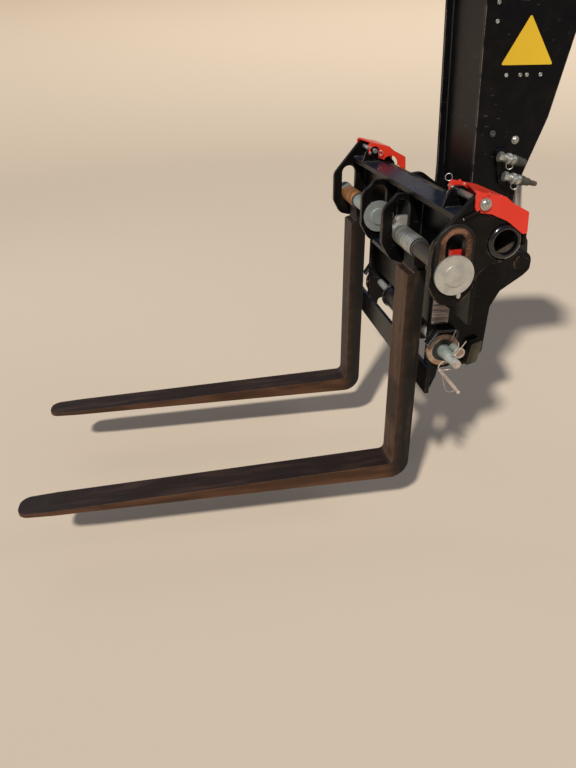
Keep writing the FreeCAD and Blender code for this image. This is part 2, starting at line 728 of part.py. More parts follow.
# Hydraulic couplers on a bracket of the left nose side, noses to the rear and a little down
BRACKET = [
    (-214, 1016, 14), (-262, 1016, 14), (-292, 916, 14), (-240, 916, 14),
]
keep("coupler_bracket", plate("coupler_bracket", "bracket_thickness",
                              "nose_half_width + bracket_thickness / 2", BRACKET))
COUPLERS = {"upper": (-219, 998), "lower": (-242, 944)}
slope = math.radians(size.coupler_slope)
coupler_line = Vector(-math.cos(slope), 0, -math.sin(slope))
thick, nose_radius = size.coupler_radius, size.coupler_nose_radius
nose_start = size.coupler_length - size.coupler_nose_length
RINGS = [
    (0, 18, thick), (18, 30, thick - 4), (30, 42, thick), (42, nose_start, thick - 2),
    (nose_start, size.coupler_length, nose_radius),
]
for name, (forward, up) in COUPLERS.items():
    turned = [(0, 0)]
    for low, high, radius in RINGS:
        turned += [(low, radius), (high, radius)]
    turned += [(size.coupler_length, 0), (0, 0)]
    profile = Part.makePolygon([Vector(0, radius, along_line) for along_line, radius in turned])
    body = Part.Face(profile).revolve(Vector(0, 0, 0), Vector(0, 0, 1), 360)
    feature = doc.addObject("Part::Feature", f"{name}_coupler")
    feature.Shape = body
    side = size.nose_half_width + size.bracket_thickness + 15.3
    feature.Placement = FreeCAD.Placement(
        Vector(forward - size.mount_forward, side, up - size.mount_up),
        FreeCAD.Rotation(Vector(0, 0, 1), coupler_line))
    keep(f"{name}_coupler", feature)

# Tilt cylinder: its line runs from the barrel pin to the tilt lugs
barrel_at = Vector(size.barrel_forward, 0, size.barrel_up)
lug_at = Vector(lug_x, 0, lug_z)
line = lug_at - barrel_at
reach = line.Length
aim = FreeCAD.Rotation(Vector(0, 0, 1), line)


def along(name, radius, start, end):
    """A round bar along the cylinder's line, between two distances from the barrel pin."""
    feature = doc.addObject("Part::Cylinder", name)
    bind(feature, "Radius", radius)
    feature.Height = end - start
    at = barrel_at + line * (start / reach) - Vector(size.mount_forward, 0, size.mount_up)
    feature.Placement = FreeCAD.Placement(at, aim)
    return feature


gland = size.barrel_length
barrel_tube = along("barrel_tube", "barrel_radius", 30, gland)
barrel_end = round_bar("barrel_end", "barrel_eye_radius", "barrel_forward", "barrel_up", "-45", "45")
barrel_ring = along("barrel_gland_ring", "barrel_radius + 6", gland - 34, gland)
barrel_bore = along("barrel_bore", "rod_radius + rod_play", 48, gland + 1)
barrel_eye = round_bar("barrel_eye_bore", "barrel_pin_radius + pin_play", "barrel_forward",
                       "barrel_up", "-46", "46")
keep("tilt_barrel", cut("tilt_barrel", fuse("barrel_whole", barrel_tube, barrel_end, barrel_ring),
                        barrel_bore, barrel_eye))
rod_bar = along("rod_bar", "rod_radius", gland - size.rod_inside, reach - 30)
rod_eye_bar = round_bar("rod_eye_bar", "rod_eye_radius", "lug_forward", "lug_up",
                        "-rod_eye_half_width", "rod_eye_half_width")
rod_eye_bore = round_bar("rod_eye_bore", "lug_pin_radius", "lug_forward", "lug_up",
                         "-rod_eye_half_width - 1", "rod_eye_half_width + 1")
# the forged neck narrows from the eye's width to the rod's
lean_x, lean_z = -line.x / reach, -line.z / reach
neck_outline = []
for height, half_width in ((0, size.rod_eye_radius), (0.7, size.rod_eye_radius), (1, size.rod_radius)):
    middle_x = lug_x + lean_x * height * size.rod_neck_length
    middle_z = lug_z + lean_z * height * size.rod_neck_length
    neck_outline.append((middle_x + lean_z * half_width, middle_z - lean_x * half_width, 0))
    neck_outline.insert(0, (middle_x - lean_z * half_width, middle_z + lean_x * half_width, 0))
rod_neck = plate("rod_neck", "2 * rod_eye_half_width", "0", neck_outline)
keep("tilt_rod", cut("tilt_rod", fuse("rod_whole", rod_bar, rod_eye_bar, rod_neck), rod_eye_bore))

# Build, check and write
doc.recompute()
for feature in doc.Objects:
    for state in ("Invalid", "Error"):
        if state in feature.State:
            raise RuntimeError(f"{feature.Label} is {state}")
os.makedirs("parts", exist_ok=True)
for label, feature in pieces.items():
    shape = feature.Shape
    if shape.isNull() or not shape.isValid():
        raise RuntimeError(f"{label} has no valid shape")
    shape.exportStep(f"parts/{label}.step")
    box = shape.BoundBox
    print(f"{label}: {len(shape.Solids)} solid, {shape.Volume / 1e3:.0f} cm3,",
          f"x {box.XMin:.0f}..{box.XMax:.0f} y {box.YMin:.0f}..{box.YMax:.0f}",
          f"z {box.ZMin:.0f}..{box.ZMax:.0f}")
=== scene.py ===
# %% [markdown]
# # A boom head with a fork carriage
# The object is the end of a lifting machine's boom: a black steel nose, a quick hitch that swings on
# it, a carriage that hooks over the hitch's tube, and two steel forks hanging on short shafts.
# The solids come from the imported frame, so every plate already has its place. This script gives them
# their finishes and adds what a drawing office leaves to the workshop: weld beads, screws, pins,
# rings, pipes and plates. Distances are in metres, X forward along the blades, Z up.

# %% Load the frame
import math
import random

import bmesh
import bpy
from mathutils import Matrix, Vector


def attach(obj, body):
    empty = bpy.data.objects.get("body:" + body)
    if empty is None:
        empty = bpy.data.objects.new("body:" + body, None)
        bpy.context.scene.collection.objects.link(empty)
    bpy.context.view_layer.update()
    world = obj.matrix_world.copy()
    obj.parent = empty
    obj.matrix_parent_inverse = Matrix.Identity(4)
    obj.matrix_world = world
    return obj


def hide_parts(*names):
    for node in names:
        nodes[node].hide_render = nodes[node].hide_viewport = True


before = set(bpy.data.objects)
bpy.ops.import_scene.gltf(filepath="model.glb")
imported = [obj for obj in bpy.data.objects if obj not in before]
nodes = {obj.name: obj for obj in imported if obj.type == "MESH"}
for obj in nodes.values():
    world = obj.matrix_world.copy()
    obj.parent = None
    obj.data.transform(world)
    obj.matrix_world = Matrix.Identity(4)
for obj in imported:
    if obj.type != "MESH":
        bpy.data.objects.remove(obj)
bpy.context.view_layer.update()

# %% [markdown]
# The workshop measures from the heel of the forks, in millimetres: forward from the back of the
# shanks, to the left of the middle, and up from the underside of the blades. One small function
# turns such a point into the frame's metres, so the numbers below can be read off the real thing.

# %% Points measured from the heel of the forks
MILLIMETRE = 0.001
HEEL = Vector((0.700, 0.0, -1.491))
SIDEWAYS = Vector((0, 1, 0))
FORWARD = Vector((1, 0, 0))
UPWARD = Vector((0, 0, 1))
NEAR, FAR = 1, -1


def at(forward, side, up):
    return HEEL + Vector((forward, side, up)) * MILLIMETRE


print("heel of the forks at", tuple(round(value, 3) for value in at(0, 0, 0)))

# %% [markdown]
# The camera comes before any piece. It could be placed by eye, but a photograph fixes it: straight
# edges of the two forks, whose size is known, give the place, the tilt and the length of the lens.
# The three rows of the turn are the picture's right, its up, and the way back from the object.

# %% Camera
PICTURE_HEIGHT = 768
FOCAL_LENGTH_PIXELS = 622.35
SENSOR = 36.0
camera_data = bpy.data.cameras.new("camera")
camera_data.sensor_width = SENSOR
camera_data.lens = FOCAL_LENGTH_PIXELS / PICTURE_HEIGHT * SENSOR
camera = bpy.data.objects.new("camera", camera_data)
bpy.context.scene.collection.objects.link(camera)
picture_right = Vector((-0.98602, 0.16618, -0.01230))
picture_up = Vector((-0.08931, -0.46470, 0.88095))
way_back = Vector((0.14068, 0.86974, 0.47304))
turn = Matrix((picture_right, picture_up, way_back)).transposed()
camera.matrix_world = Matrix.Translation(Vector((1.36129, 1.87263, -0.22392))) @ turn.to_4x4()
bpy.context.scene.camera = camera
print("lens", round(camera_data.lens, 2), "mm on a", SENSOR, "mm sensor")

# %% [markdown]
# The stage is a pale, sand-coloured floor 200 mm under the blades, the height at which the carriage
# hung. A flat floor would end in a horizon across the top of the picture, so this one is a wide bowl:
# flat where the shadows fall, then rising in an arc far behind the object, from whatever side it is
# seen. It is swept from a short profile of distances and heights, and it stays low, so that the
# black gloss still reflects the sky above it.

# %% Stage floor
FLOOR_UP = -1.691
FLAT_REACH, BOWL_REACH, BOWL_RISE = 8.0, 14.0, 2.7
BOWL_SIDES, ARC_STEPS = 128, 64
FLOOR_COLOUR, FLOOR_ROUGHNESS, FLOOR_GLOSS = (0.66, 0.56, 0.445, 1), 0.95, 0.1
bowl_angles = [2 * math.pi * index / BOWL_SIDES for index in range(BOWL_SIDES)]
floor_work = bmesh.new()
rings = []
for step in range(ARC_STEPS + 1):
    arc = step / ARC_STEPS * math.pi / 2
    reach = FLAT_REACH + (BOWL_REACH - FLAT_REACH) * math.sin(arc)
    height = FLOOR_UP + BOWL_RISE * (1 - math.cos(arc))
    rings.append([floor_work.verts.new((reach * math.cos(angle), reach * math.sin(angle), height))
                  for angle in bowl_angles])
floor_work.faces.new(rings[0]).smooth = True
for before, after in zip(rings, rings[1:]):
    for index in range(BOWL_SIDES):
        following = (index + 1) % BOWL_SIDES
        corners = (before[index], after[index], after[following], before[following])
        floor_work.faces.new(corners).smooth = True
floor_mesh = bpy.data.meshes.new("floor")
floor_work.to_mesh(floor_mesh)
floor_work.free()
floor = bpy.data.objects.new("floor", floor_mesh)
bpy.context.scene.collection.objects.link(floor)
floor_look = bpy.data.materials.new("pale_floor")
floor_look.use_nodes = True
floor_shader = floor_look.node_tree.nodes["Principled BSDF"]
floor_shader.inputs["Base Color"].default_value = FLOOR_COLOUR
floor_shader.inputs["Roughness"].default_value = FLOOR_ROUGHNESS
floor_shader.inputs["Specular IOR Level"].default_value = FLOOR_GLOSS
floor_mesh.materials.append(floor_look)
print("floor", FLOOR_UP, "m, blades", round(at(0, 0, 0).z - FLOOR_UP, 3), "m above it")

# %% [markdown]
# Studio light. The key light comes from where the sun stood, in front and to the left, so the forks'
# shadows fall the same way. It is a wide disc, which softens their edges, and it is as far off as the
# sun, so the floor is as bright behind the object as before it. Two dim lamps open the shadows, and an
# even sky gives the black paint something to reflect, because black gloss shows only what is round it.

# %% Lamps and sky
LOOK_AT = Vector((0.8, 0.0, -0.9))
KEY_FROM, KEY_STRENGTH, KEY_WIDTH = (3.1, 3.8, 3.4), 3.3, math.radians(3.5)
KEY_COLOUR = (1.0, 0.95, 0.87)
SIDE_LAMPS = {
    "fill": ((3.5, -2.5, 1.6), 2.6, 18, (0.95, 0.96, 1.0)),
    "rim": ((-3.2, 1.8, 2.6), 2.0, 30, (0.92, 0.95, 1.0)),
}
SKY_COLOUR, SKY_STRENGTH = (0.70, 0.74, 0.90, 1), 0.2


def hang_lamp(name, kind, place, power, colour):
    """A lamp at a place, turned to the middle of the object."""
    light = bpy.data.lights.new(name, kind)
    light.energy = power
    light.color = colour
    lamp = bpy.data.objects.new(name, light)
    lamp.location = place
    lamp.rotation_mode = "QUATERNION"
    lamp.rotation_quaternion = (LOOK_AT - Vector(place)).to_track_quat("-Z", "Y")
    bpy.context.scene.collection.objects.link(lamp)
    return light


hang_lamp("key", "SUN", KEY_FROM, KEY_STRENGTH, KEY_COLOUR).angle = KEY_WIDTH
for name, (place, width, power, colour) in SIDE_LAMPS.items():
    hang_lamp(name, "AREA", place, power, colour).size = width
sky = bpy.data.worlds.new("sky")
bpy.context.scene.world = sky
sky.use_nodes = True
background = sky.node_tree.nodes["Background"]
background.inputs["Color"].default_value = SKY_COLOUR
background.inputs["Strength"].default_value = SKY_STRENGTH
bpy.context.scene.view_settings.view_transform = "Standard"
print("lamps", [lamp.name for lamp in bpy.data.lights])

# %% [markdown]
# Every finish on this object changes over the surface: dust lies on top faces, paint wears off at
# edges, rust comes through in patches. That is arithmetic on masks, and arithmetic reads best as
# Python. A small class wraps one output of a node and overloads the operators, so that an
# expression such as 1 - mask adds the Math node that it means.

# %% A socket that takes part in sums
class Wire:
    """One output socket of a finish's nodes."""

    def __init__(self, finish, socket):
        self.finish = finish
        self.socket = socket

    def calc(self, operation, *values):
        return self.finish.node("ShaderNodeMath", {"operation": operation}, enumerate(values))

    def __add__(self, other):
        return self.calc("ADD", self, other)

    def __radd__(self, other):
        return self.calc("ADD", other, self)

    def __sub__(self, other):
        return self.calc("SUBTRACT", self, other)

    def __rsub__(self, other):
        return self.calc("SUBTRACT", other, self)

    def __mul__(self, other):
        return self.calc("MULTIPLY", self, other)

    def __rmul__(self, other):
        return self.calc("MULTIPLY", other, self)

    def __pow__(self, other):
        return self.calc("POWER", self, other)

    def size(self):
        return self.calc("ABSOLUTE", self)

    def between(self, low, high):
        return self.calc("MINIMUM", self.calc("MAXIMUM", self, low), high)

    def steps(self, low, high):
        """0 below low, 1 above high, and a smooth rise between."""
        return self.finish.node("ShaderNodeMapRange", {"interpolation_type": "SMOOTHSTEP"},
                                {"Value": self, "From Min": low, "From Max": high})


print("socket sums ready")

# %% [markdown]
# A finish is one material with its shader. Constants go straight on the shader's own sockets, and
# one method adds any node: its settings first, because they decide which sockets it has, then the
# numbers or links. The coordinates are the piece's own, so a pattern stays on a piece that moves.

# %% A finish and its nodes
class Finish:
    """A material made of nodes round one shader."""

    def __init__(self, name, **constants):
        self.material = bpy.data.materials.new(name)
        self.material.use_nodes = True
        self.tree = self.material.node_tree
        self.shader = self.tree.nodes["Principled BSDF"]
        for socket, value in constants.items():
            self.plug(self.shader.inputs[socket.replace("_", " ")], value)
        self.place = self.node("ShaderNodeTexCoord", out="Object")
        facing = self.node("ShaderNodeTexCoord", out="Normal")
        self.facing = [self.node("ShaderNodeSeparateXYZ", {}, {0: facing}, out=axis) for axis in "XYZ"]
        self.along = [self.node("ShaderNodeSeparateXYZ", {}, {0: self.place}, out=axis)
                      for axis in "XYZ"]

    def plug(self, socket, value):
        if isinstance(value, Wire):
            self.tree.links.new(value.socket, socket)
        elif isinstance(value, tuple) and len(value) == 3 and socket.type == "RGBA":
            socket.default_value = (*value, 1)
        else:
            socket.default_value = value

    def node(self, kind, settings=(), sockets=(), out=0):
        made = self.tree.nodes.new(kind)
        for name, value in dict(settings).items():
            setattr(made, name, value)
        for name, value in dict(sockets).items():
            self.plug(made.inputs[name], value)
        return Wire(self, made.outputs[out])

    def mix(self, share, first, second):
        return self.node("ShaderNodeMix", {"data_type": "RGBA"}, {0: share, 6: first, 7: second}, out=2)

    def noise(self, scale, detail=3.0, stretch=(1, 1, 1)):
        place = self.node("ShaderNodeMapping", {}, {"Vector": self.place, "Scale": stretch})
        return self.node("ShaderNodeTexNoise", {}, {"Vector": place, "Scale": scale, "Detail": detail})

    def edges(self, radius=0.004):
        """1 on outer edges within a radius, 0 on flat faces."""
        rounded = self.node("ShaderNodeBevel", {"samples": 6}, {"Radius": radius})
        flat = self.node("ShaderNodeNewGeometry", out="Normal")
        likeness = self.node("ShaderNodeVectorMath", {"operation": "DOT_PRODUCT"}, {0: rounded, 1: flat},
                             out="Value")
        return (1 - likeness).steps(0.015, 0.16)

    def bump(self, height, depth):
        normal = self.node("ShaderNodeBump", {}, {"Height": height, "Distance": depth, "Strength": 1.0})
        self.feed(Normal=normal)

    def feed(self, **links):
        for socket, value in links.items():
            self.plug(self.shader.inputs[socket.replace("_", " ")], value)


print("finishes can be mixed")

# %% [markdown]
# Paint on a working machine is never one black. It has a thin brown film, dust where faces look up,
# fine scratches, and edges where the paint has gone and rust shows. Each of these is a mask from 0 to
# 1, and the colour, roughness and gloss coat are mixed by the same masks. Black paint that faces the
# sky looks a little blue, so its tops get a painted reflection of the sky. The pale bluish edges of the
# pin guards are a painted highlight laid on as worn edges, and the nose's pale edges are worn paint
# and painted highlight in one.

# %% Painted steel
DUST = (0.36, 0.28, 0.20)
RUST = (0.17, 0.070, 0.030)
BARE_STEEL = (0.42, 0.40, 0.37)


def painted_steel(name, paint, film, gloss, dust, wear_and_edge_highlight, edge_colour=RUST, shine=0.1, specular=0.12,
                  painted_sky_reflection=None):
    finish = Finish(name, Coat_Roughness=0.12, Specular_IOR_Level=specular)
    broad = finish.noise(3.0)
    patches = finish.noise(22.0, 5.0)
    grains = finish.noise(260.0, 2.0)
    brushing = finish.noise(30.0, 3.0, (1.0, 1.0, 9.0))
    top = finish.facing[2].steps(0.35, 0.95)
    powder = (top * 0.75 + 0.25) * patches.steps(0.42, 0.72) * dust
    speckle = grains.steps(0.66, 0.72) * patches.steps(0.5, 0.7) * dust
    # Worn edges; on the pin guards and the nose these pale edges are also a painted highlight.
    chipped_and_highlit_edges = finish.edges() * (patches + grains * 0.35).steps(0.86 - 0.35 * wear_and_edge_highlight, 1.02 - 0.35 * wear_and_edge_highlight)
    scratch = brushing.steps(0.69, 0.73) * wear_and_edge_highlight * 0.5
    colour = finish.mix(broad.steps(0.35, 0.7), paint, film)
    # Faces that look up get a painted reflection of the blue sky.
    if painted_sky_reflection:
        colour = finish.mix(top, colour, painted_sky_reflection)
    colour = finish.mix(powder * 0.55 + speckle * 0.5, colour, DUST)
    colour = finish.mix(scratch * 0.35, colour, BARE_STEEL)
    colour = finish.mix(chipped_and_highlit_edges, colour, edge_colour)
    finish.feed(Base_Color=colour)
    finish.feed(Roughness=gloss + powder * 0.45 + chipped_and_highlit_edges * 0.35 + patches * 0.08)
    finish.feed(Coat_Weight=(1 - chipped_and_highlit_edges) * (1 - powder) * shine)
    finish.bump(grains * 0.35 + broad * 0.3 - chipped_and_highlit_edges * 0.8, 0.0006)
    return finish


# Black paint carries a painted reflection of the sky on its tops.
black_paint = painted_steel(
    "black_paint", (0.0028, 0.0029, 0.0038), (0.0052, 0.0044, 0.0042), gloss=0.24, dust=0.07,
    wear_and_edge_highlight=0.35, specular=0.11, painted_sky_reflection=(0.007, 0.0115, 0.025))
worn_black = painted_steel(
    "worn_black_paint", (0.0026, 0.0025, 0.0030), (0.0055, 0.0044, 0.0038), gloss=0.30, dust=0.08,
    wear_and_edge_highlight=0.5, edge_colour=(0.16, 0.115, 0.08), shine=0.06, specular=0.1)
# The pin guards' pale bluish edges are a painted highlight, laid on as worn edges.
guard_black = painted_steel(
    "guard_black_paint", (0.0026, 0.0026, 0.0034), (0.005, 0.0044, 0.0042), gloss=0.24, dust=0.06,
    wear_and_edge_highlight=1.7, edge_colour=(0.26, 0.29, 0.34), shine=0.3, specular=0.2)
# The nose's pale edges are worn paint and a painted highlight in one.
nose_black = painted_steel(
    "nose_black_paint", (0.0030, 0.0030, 0.0042), (0.0045, 0.0042, 0.0046), gloss=0.32, dust=0.05,
    wear_and_edge_highlight=0.9, edge_colour=(0.24, 0.20, 0.17), shine=0.04)
red_paint = painted_steel(
    "red_paint", (0.74, 0.040, 0.018), (0.66, 0.032, 0.016), gloss=0.36, dust=0.12, wear_and_edge_highlight=0.15,
    edge_colour=(0.30, 0.05, 0.03), shine=0.3, specular=0.3)
print("painted finishes", black_paint.material.name, worn_black.material.name, red_paint.material.name)

# %% [markdown]
# The forks are forged bars with no paint left. Their tops are dark and greasy, the flanks of the
# blades are brown with rust, and the front of each shank is rubbed to a dusty tan by pallets. Which
# of these a spot gets follows from the way it faces. The eye that hangs on the shaft is a tube welded
# on: bright on the left fork, orange with rust on the right. A distance from the shaft's middle line,
# worked out from the coordinates, tells the tube from the bar. The tube's end faces get a dark bluish
# grey that is painted shade, and a band of painted shadow crosses the front of each shank.

# %% Forged forks
SHAFT_FORWARD, SHAFT_UP = 36, 786
SHAFT_LINE = at(SHAFT_FORWARD, 0, SHAFT_UP)
EYE_REACH = 0.031
BLADE_FROM, BLADE_SURE = HEEL.x + 0.02, HEEL.x + 0.09
# The heights of the painted shadow band across the front of the shanks come after the neck's foot.
NECK_FOOT, SHADOW_BAND_FOOT, SHADOW_BAND_FULL, SHADOW_BAND_FADES, SHADOW_BAND_TOP = [
    at(0, 0, up).z for up in (710, 170, 215, 330, 365)]
SHANK_BROWN, SHANK_GREY = (0.0085, 0.0065, 0.005), (0.0085, 0.0085, 0.0075)
FLANK_RUST = (0.044, 0.019, 0.009), (0.088, 0.039, 0.019)
TOP_GREASE = (0.016, 0.009, 0.0075), (0.044, 0.024, 0.018)
# First the colour of the painted shadow on the shank fronts, then the dark neck under the eye.
PAINTED_SHADOW_COLOUR, NECK_COLOUR = (0.026, 0.016, 0.011), (0.016, 0.0145, 0.0145)
# Pale rubbed edges, then a dark bluish grey that paints shade on the eye's end faces.
RUBBED_EDGE, SHADED_TUBE_END = (0.26, 0.175, 0.115), (0.040, 0.040, 0.048)


def forged_fork(name, eye_colours, eye_metal, rubbed_colours, side_light, shadow_strength):
    finish = Finish(name, Specular_IOR_Level=0.25)
    broad = finish.noise(4.0)
    patches = finish.noise(26.0, 5.0)
    grains = finish.noise(330.0, 2.0)
    upright = finish.noise(46.0, 5.0, (1.0, 1.0, 0.16))
    lengthwise = finish.noise(34.0, 5.0, (0.16, 1.0, 1.0))
    forward, _, up = finish.along
    top = finish.facing[2].steps(0.55, 0.9)
    front = finish.facing[0].steps(0.5, 0.9)
    blade = forward.steps(BLADE_FROM, BLADE_SURE)
    neck = up.steps(NECK_FOOT, NECK_FOOT + 0.004)
    shank_side = finish.mix(upright.steps(0.46, 0.72), SHANK_BROWN, side_light)
    shank_side = finish.mix(patches.steps(0.5, 0.6) * 0.6, shank_side, SHANK_GREY)
    colour = finish.mix(blade, shank_side, finish.mix(lengthwise.steps(0.35, 0.65), *FLANK_RUST))
    colour = finish.mix(top, colour, finish.mix(lengthwise.steps(0.42, 0.75), *TOP_GREASE))
    front_tan_and_shadow = finish.mix((upright * 0.6 + patches * 0.4).steps(0.4, 0.62), *rubbed_colours)
    # A band of painted shadow across the front of the shank, where a cast shadow falls.
    painted_shadow = up.steps(SHADOW_BAND_FOOT, SHADOW_BAND_FULL) * (1 - up.steps(SHADOW_BAND_FADES, SHADOW_BAND_TOP))
    front_tan_and_shadow = finish.mix(painted_shadow * shadow_strength, front_tan_and_shadow, PAINTED_SHADOW_COLOUR)
    colour = finish.mix(front * (1 - blade) * (broad * 0.3 + 0.7), colour, front_tan_and_shadow)
    colour = finish.mix(neck, colour, NECK_COLOUR)
    bright = finish.edges(0.0035) * grains.steps(0.4, 0.6) * (1 - neck)
    colour = finish.mix(bright * 0.6, colour, RUBBED_EDGE)
    across, height = forward - SHAFT_LINE.x, up - SHAFT_LINE.z
    eye = 1 - ((across * across + height * height) ** 0.5).steps(EYE_REACH, EYE_REACH + 0.002)
    grooves = finish.noise(60.0, 3.0, (0.15, 3.0, 0.15))
    # The eye's end faces get a dark bluish grey: painted shade.
    shaded_end = finish.facing[1].size().steps(0.6, 0.9)
    tube = finish.mix((grooves * 0.7 + patches * 0.3).steps(0.4, 0.62), *eye_colours)
    colour = finish.mix(eye, colour, finish.mix(shaded_end, tube, SHADED_TUBE_END))
    finish.feed(Base_Color=colour)
    finish.feed(Metallic=eye * (1 - shaded_end) * eye_metal + bright * 0.3)
    finish.feed(Roughness=0.5 + patches * 0.25 - top * 0.12 - eye * 0.1)
    finish.bump(grains * 0.4 + patches * 0.5 + grooves * eye * 0.5, 0.0009)
    return finish


# The last number sets how dark the painted shadow on the shank front is.
zinc_eye_fork = forged_fork(
    "left_fork_steel", ((0.24, 0.25, 0.24), (0.50, 0.50, 0.46)), 0.7,
    ((0.095, 0.048, 0.027), (0.17, 0.10, 0.062)), (0.034, 0.022, 0.014), 0.9)
rusty_eye_fork = forged_fork(
    "right_fork_steel", ((0.13, 0.055, 0.022), (0.38, 0.17, 0.055)), 0.1,
    ((0.042, 0.033, 0.027), (0.078, 0.060, 0.047)), (0.014, 0.0115, 0.0095), 0.4)
print("fork finishes", zinc_eye_fork.material.name, rusty_eye_fork.material.name)

# %% [markdown]
# Plated and bare steel share one recipe: a light metal, a darker stain in patches, a little rust or
# dust in grains, and roughness that varies with them. The numbers make it pale zinc, grey pin steel
# or a rusty boss. The left shaft adds a dark length between the eye and the ear, grease and painted
# shade in one, and a red key near its cap, the tilt rod is chrome down to its forged neck, and the
# slot's pad is rusty where the shaft rubs.

# %% Bare and plated steel
RED_KEY_SIDE, GREASE_AND_SHADE_FROM, GREASE_AND_SHADE_TO = [at(0, side, 0).y for side in (430, 270, 486)]
RED_KEY_FOOT, ROD_NECK_TOP = [at(0, 0, up).z for up in (811, 733)]
RUBBED_STEEL, RED_KEY = (0.6, 0.58, 0.54), (0.62, 0.022, 0.012)
# Grease and painted shade in one dark colour, for the left shaft between the eye and the ear.
GREASE_AND_SHADE_COLOURS = (0.020, 0.016, 0.013), (0.050, 0.038, 0.029)


def bare_steel(name, light, dark, metal, rough, rust_share, rust=RUST, stretch=(1, 1, 1), keyed=False):
    finish = Finish(name)
    stains = finish.noise(34.0, 5.0, stretch)
    grains = finish.noise(300.0, 3.0)
    rusted = (stains * 0.6 + grains * 0.4).steps(0.78 - 0.5 * rust_share, 0.88 - 0.5 * rust_share)
    colour = finish.mix(stains.steps(0.35, 0.7), light, dark)
    colour = finish.mix(finish.edges(0.002) * 0.4, colour, RUBBED_STEEL)
    colour = finish.mix(rusted, colour, rust)
    bare = 1 - rusted
    if keyed:
        _, side, up = finish.along
        plated = side.steps(GREASE_AND_SHADE_TO, GREASE_AND_SHADE_TO + 0.003)
        # The length between the eye and the ear is painted dark: grease and painted shade in one.
        greased_and_shaded = side.steps(GREASE_AND_SHADE_FROM, GREASE_AND_SHADE_FROM + 0.02) * (1 - plated)
        colour = finish.mix(greased_and_shaded, colour, finish.mix(stains, *GREASE_AND_SHADE_COLOURS))
        key = up.steps(RED_KEY_FOOT, RED_KEY_FOOT + 0.001)
        key = key * side.steps(RED_KEY_SIDE, RED_KEY_SIDE + 0.001) * (1 - plated)
        colour = finish.mix(key, colour, RED_KEY)
        bare = bare * (1 - key) * (1 - greased_and_shaded)
    finish.feed(Base_Color=colour)
    if metal:
        finish.feed(Metallic=bare * metal)
    finish.feed(Roughness=rough + stains * 0.14 + rusted * 0.35)
    finish.bump(grains * 0.3 + rusted * 0.5, 0.0004)
    return finish


CAP_LIGHT, CAP_DARK, CAP_STAIN = (0.56, 0.54, 0.49), (0.43, 0.43, 0.40), (0.26, 0.21, 0.15)
cap_zinc = bare_steel("cap_zinc", (0.42, 0.47, 0.45), (0.33, 0.37, 0.36), 0.6, 0.38, 0.05, CAP_STAIN)
shaft_zinc = bare_steel("shaft_zinc", CAP_LIGHT, CAP_DARK, 0.6, 0.38, 0.05, CAP_STAIN)
keyed_shaft = bare_steel("keyed_shaft_zinc", CAP_LIGHT, CAP_DARK, 0.6, 0.38, 0.05, CAP_STAIN, keyed=True)
screw_zinc = bare_steel("screw_zinc", (0.62, 0.62, 0.60), (0.40, 0.40, 0.38), 0.9, 0.28, 0.1)
pin_steel = bare_steel("pin_steel", (0.52, 0.54, 0.51), (0.38, 0.41, 0.39), 0.5, 0.42, 0.1)
rusty_steel = bare_steel(
    "rusty_steel", (0.40, 0.29, 0.20), (0.22, 0.14, 0.085), 0.25, 0.58, 0.5, (0.34, 0.15, 0.06))
coupler_zinc = bare_steel(
    "coupler_zinc", (0.55, 0.56, 0.52), (0.30, 0.31, 0.27), 0.85, 0.34, 0.18, (0.10, 0.085, 0.055))
weld_steel = bare_steel(
    "weld_under_paint", (0.009, 0.008, 0.0075), (0.006, 0.006, 0.0065), 0.0, 0.34, 0.06)
bore_black = bare_steel(
    "dusty_bore_black", (0.085, 0.066, 0.048), (0.004, 0.0035, 0.003), 0.0, 0.5, 0.2,
    (0.13, 0.10, 0.072), (1.0, 0.3, 1.0))
CHROME = (0.70, 0.70, 0.72), (0.60, 0.60, 0.62)
NECK_PAINT = (0.004, 0.004, 0.0045), (0.012, 0.0095, 0.0075)
PAD_RUST, PAD_EDGE = ((0.060, 0.028, 0.016), (0.26, 0.125, 0.068)), (0.20, 0.17, 0.14)
PAD_PAINT = (0.004, 0.0038, 0.004), (0.020, 0.0145, 0.011)
SLOT_RISE, RUBBED_REACH, PAINTED_REACH = 0.072, 0.035, 0.043


def plated_rod(name):
    """Chrome above the forged neck, black paint with dust below."""
    finish = Finish(name)
    stains = finish.noise(34.0, 5.0, (1.0, 1.0, 0.3))
    plated = finish.along[2].steps(ROD_NECK_TOP, ROD_NECK_TOP + 0.002)
    painted, polished = finish.mix(stains, *NECK_PAINT), finish.mix(stains, *CHROME)
    finish.feed(Base_Color=finish.mix(plated, painted, polished))
    finish.feed(Metallic=plated)
    finish.feed(Roughness=0.45 - plated * 0.38 + stains * 0.08)
    return finish


def rubbed_pad(name):
    """Rust where the shaft rubs, along the inner edge of the slot, and black paint outside."""
    finish = Finish(name, Specular_IOR_Level=0.2)
    stains = finish.noise(40.0, 5.0)
    grains = finish.noise(300.0, 3.0)
    forward, _, up = finish.along
    across = forward - SHAFT_LINE.x
    height = up - up.between(SHAFT_LINE.z, SHAFT_LINE.z + SLOT_RISE)
    reach = (across * across + height * height) ** 0.5
    rim = (1 - reach.steps(RUBBED_REACH, PAINTED_REACH)) * (stains * 0.5 + 0.6)
    rust = finish.mix((stains * 0.6 + grains * 0.4).steps(0.4, 0.6), *PAD_RUST)
    colour = finish.mix(rim, finish.mix(stains, *PAD_PAINT), rust)
    finish.feed(Base_Color=finish.mix(finish.edges(0.002) * 0.5, colour, PAD_EDGE))
    finish.feed(Roughness=0.38 + rim * 0.3)
    finish.bump(grains * 0.4 + stains * 0.4, 0.0006)
    return finish


chrome = plated_rod("chrome_rod")
pad_steel = rubbed_pad("worn_pad_steel")
print("bare finishes", [look.material.name for look in (cap_zinc, screw_zinc, pin_steel, chrome)])

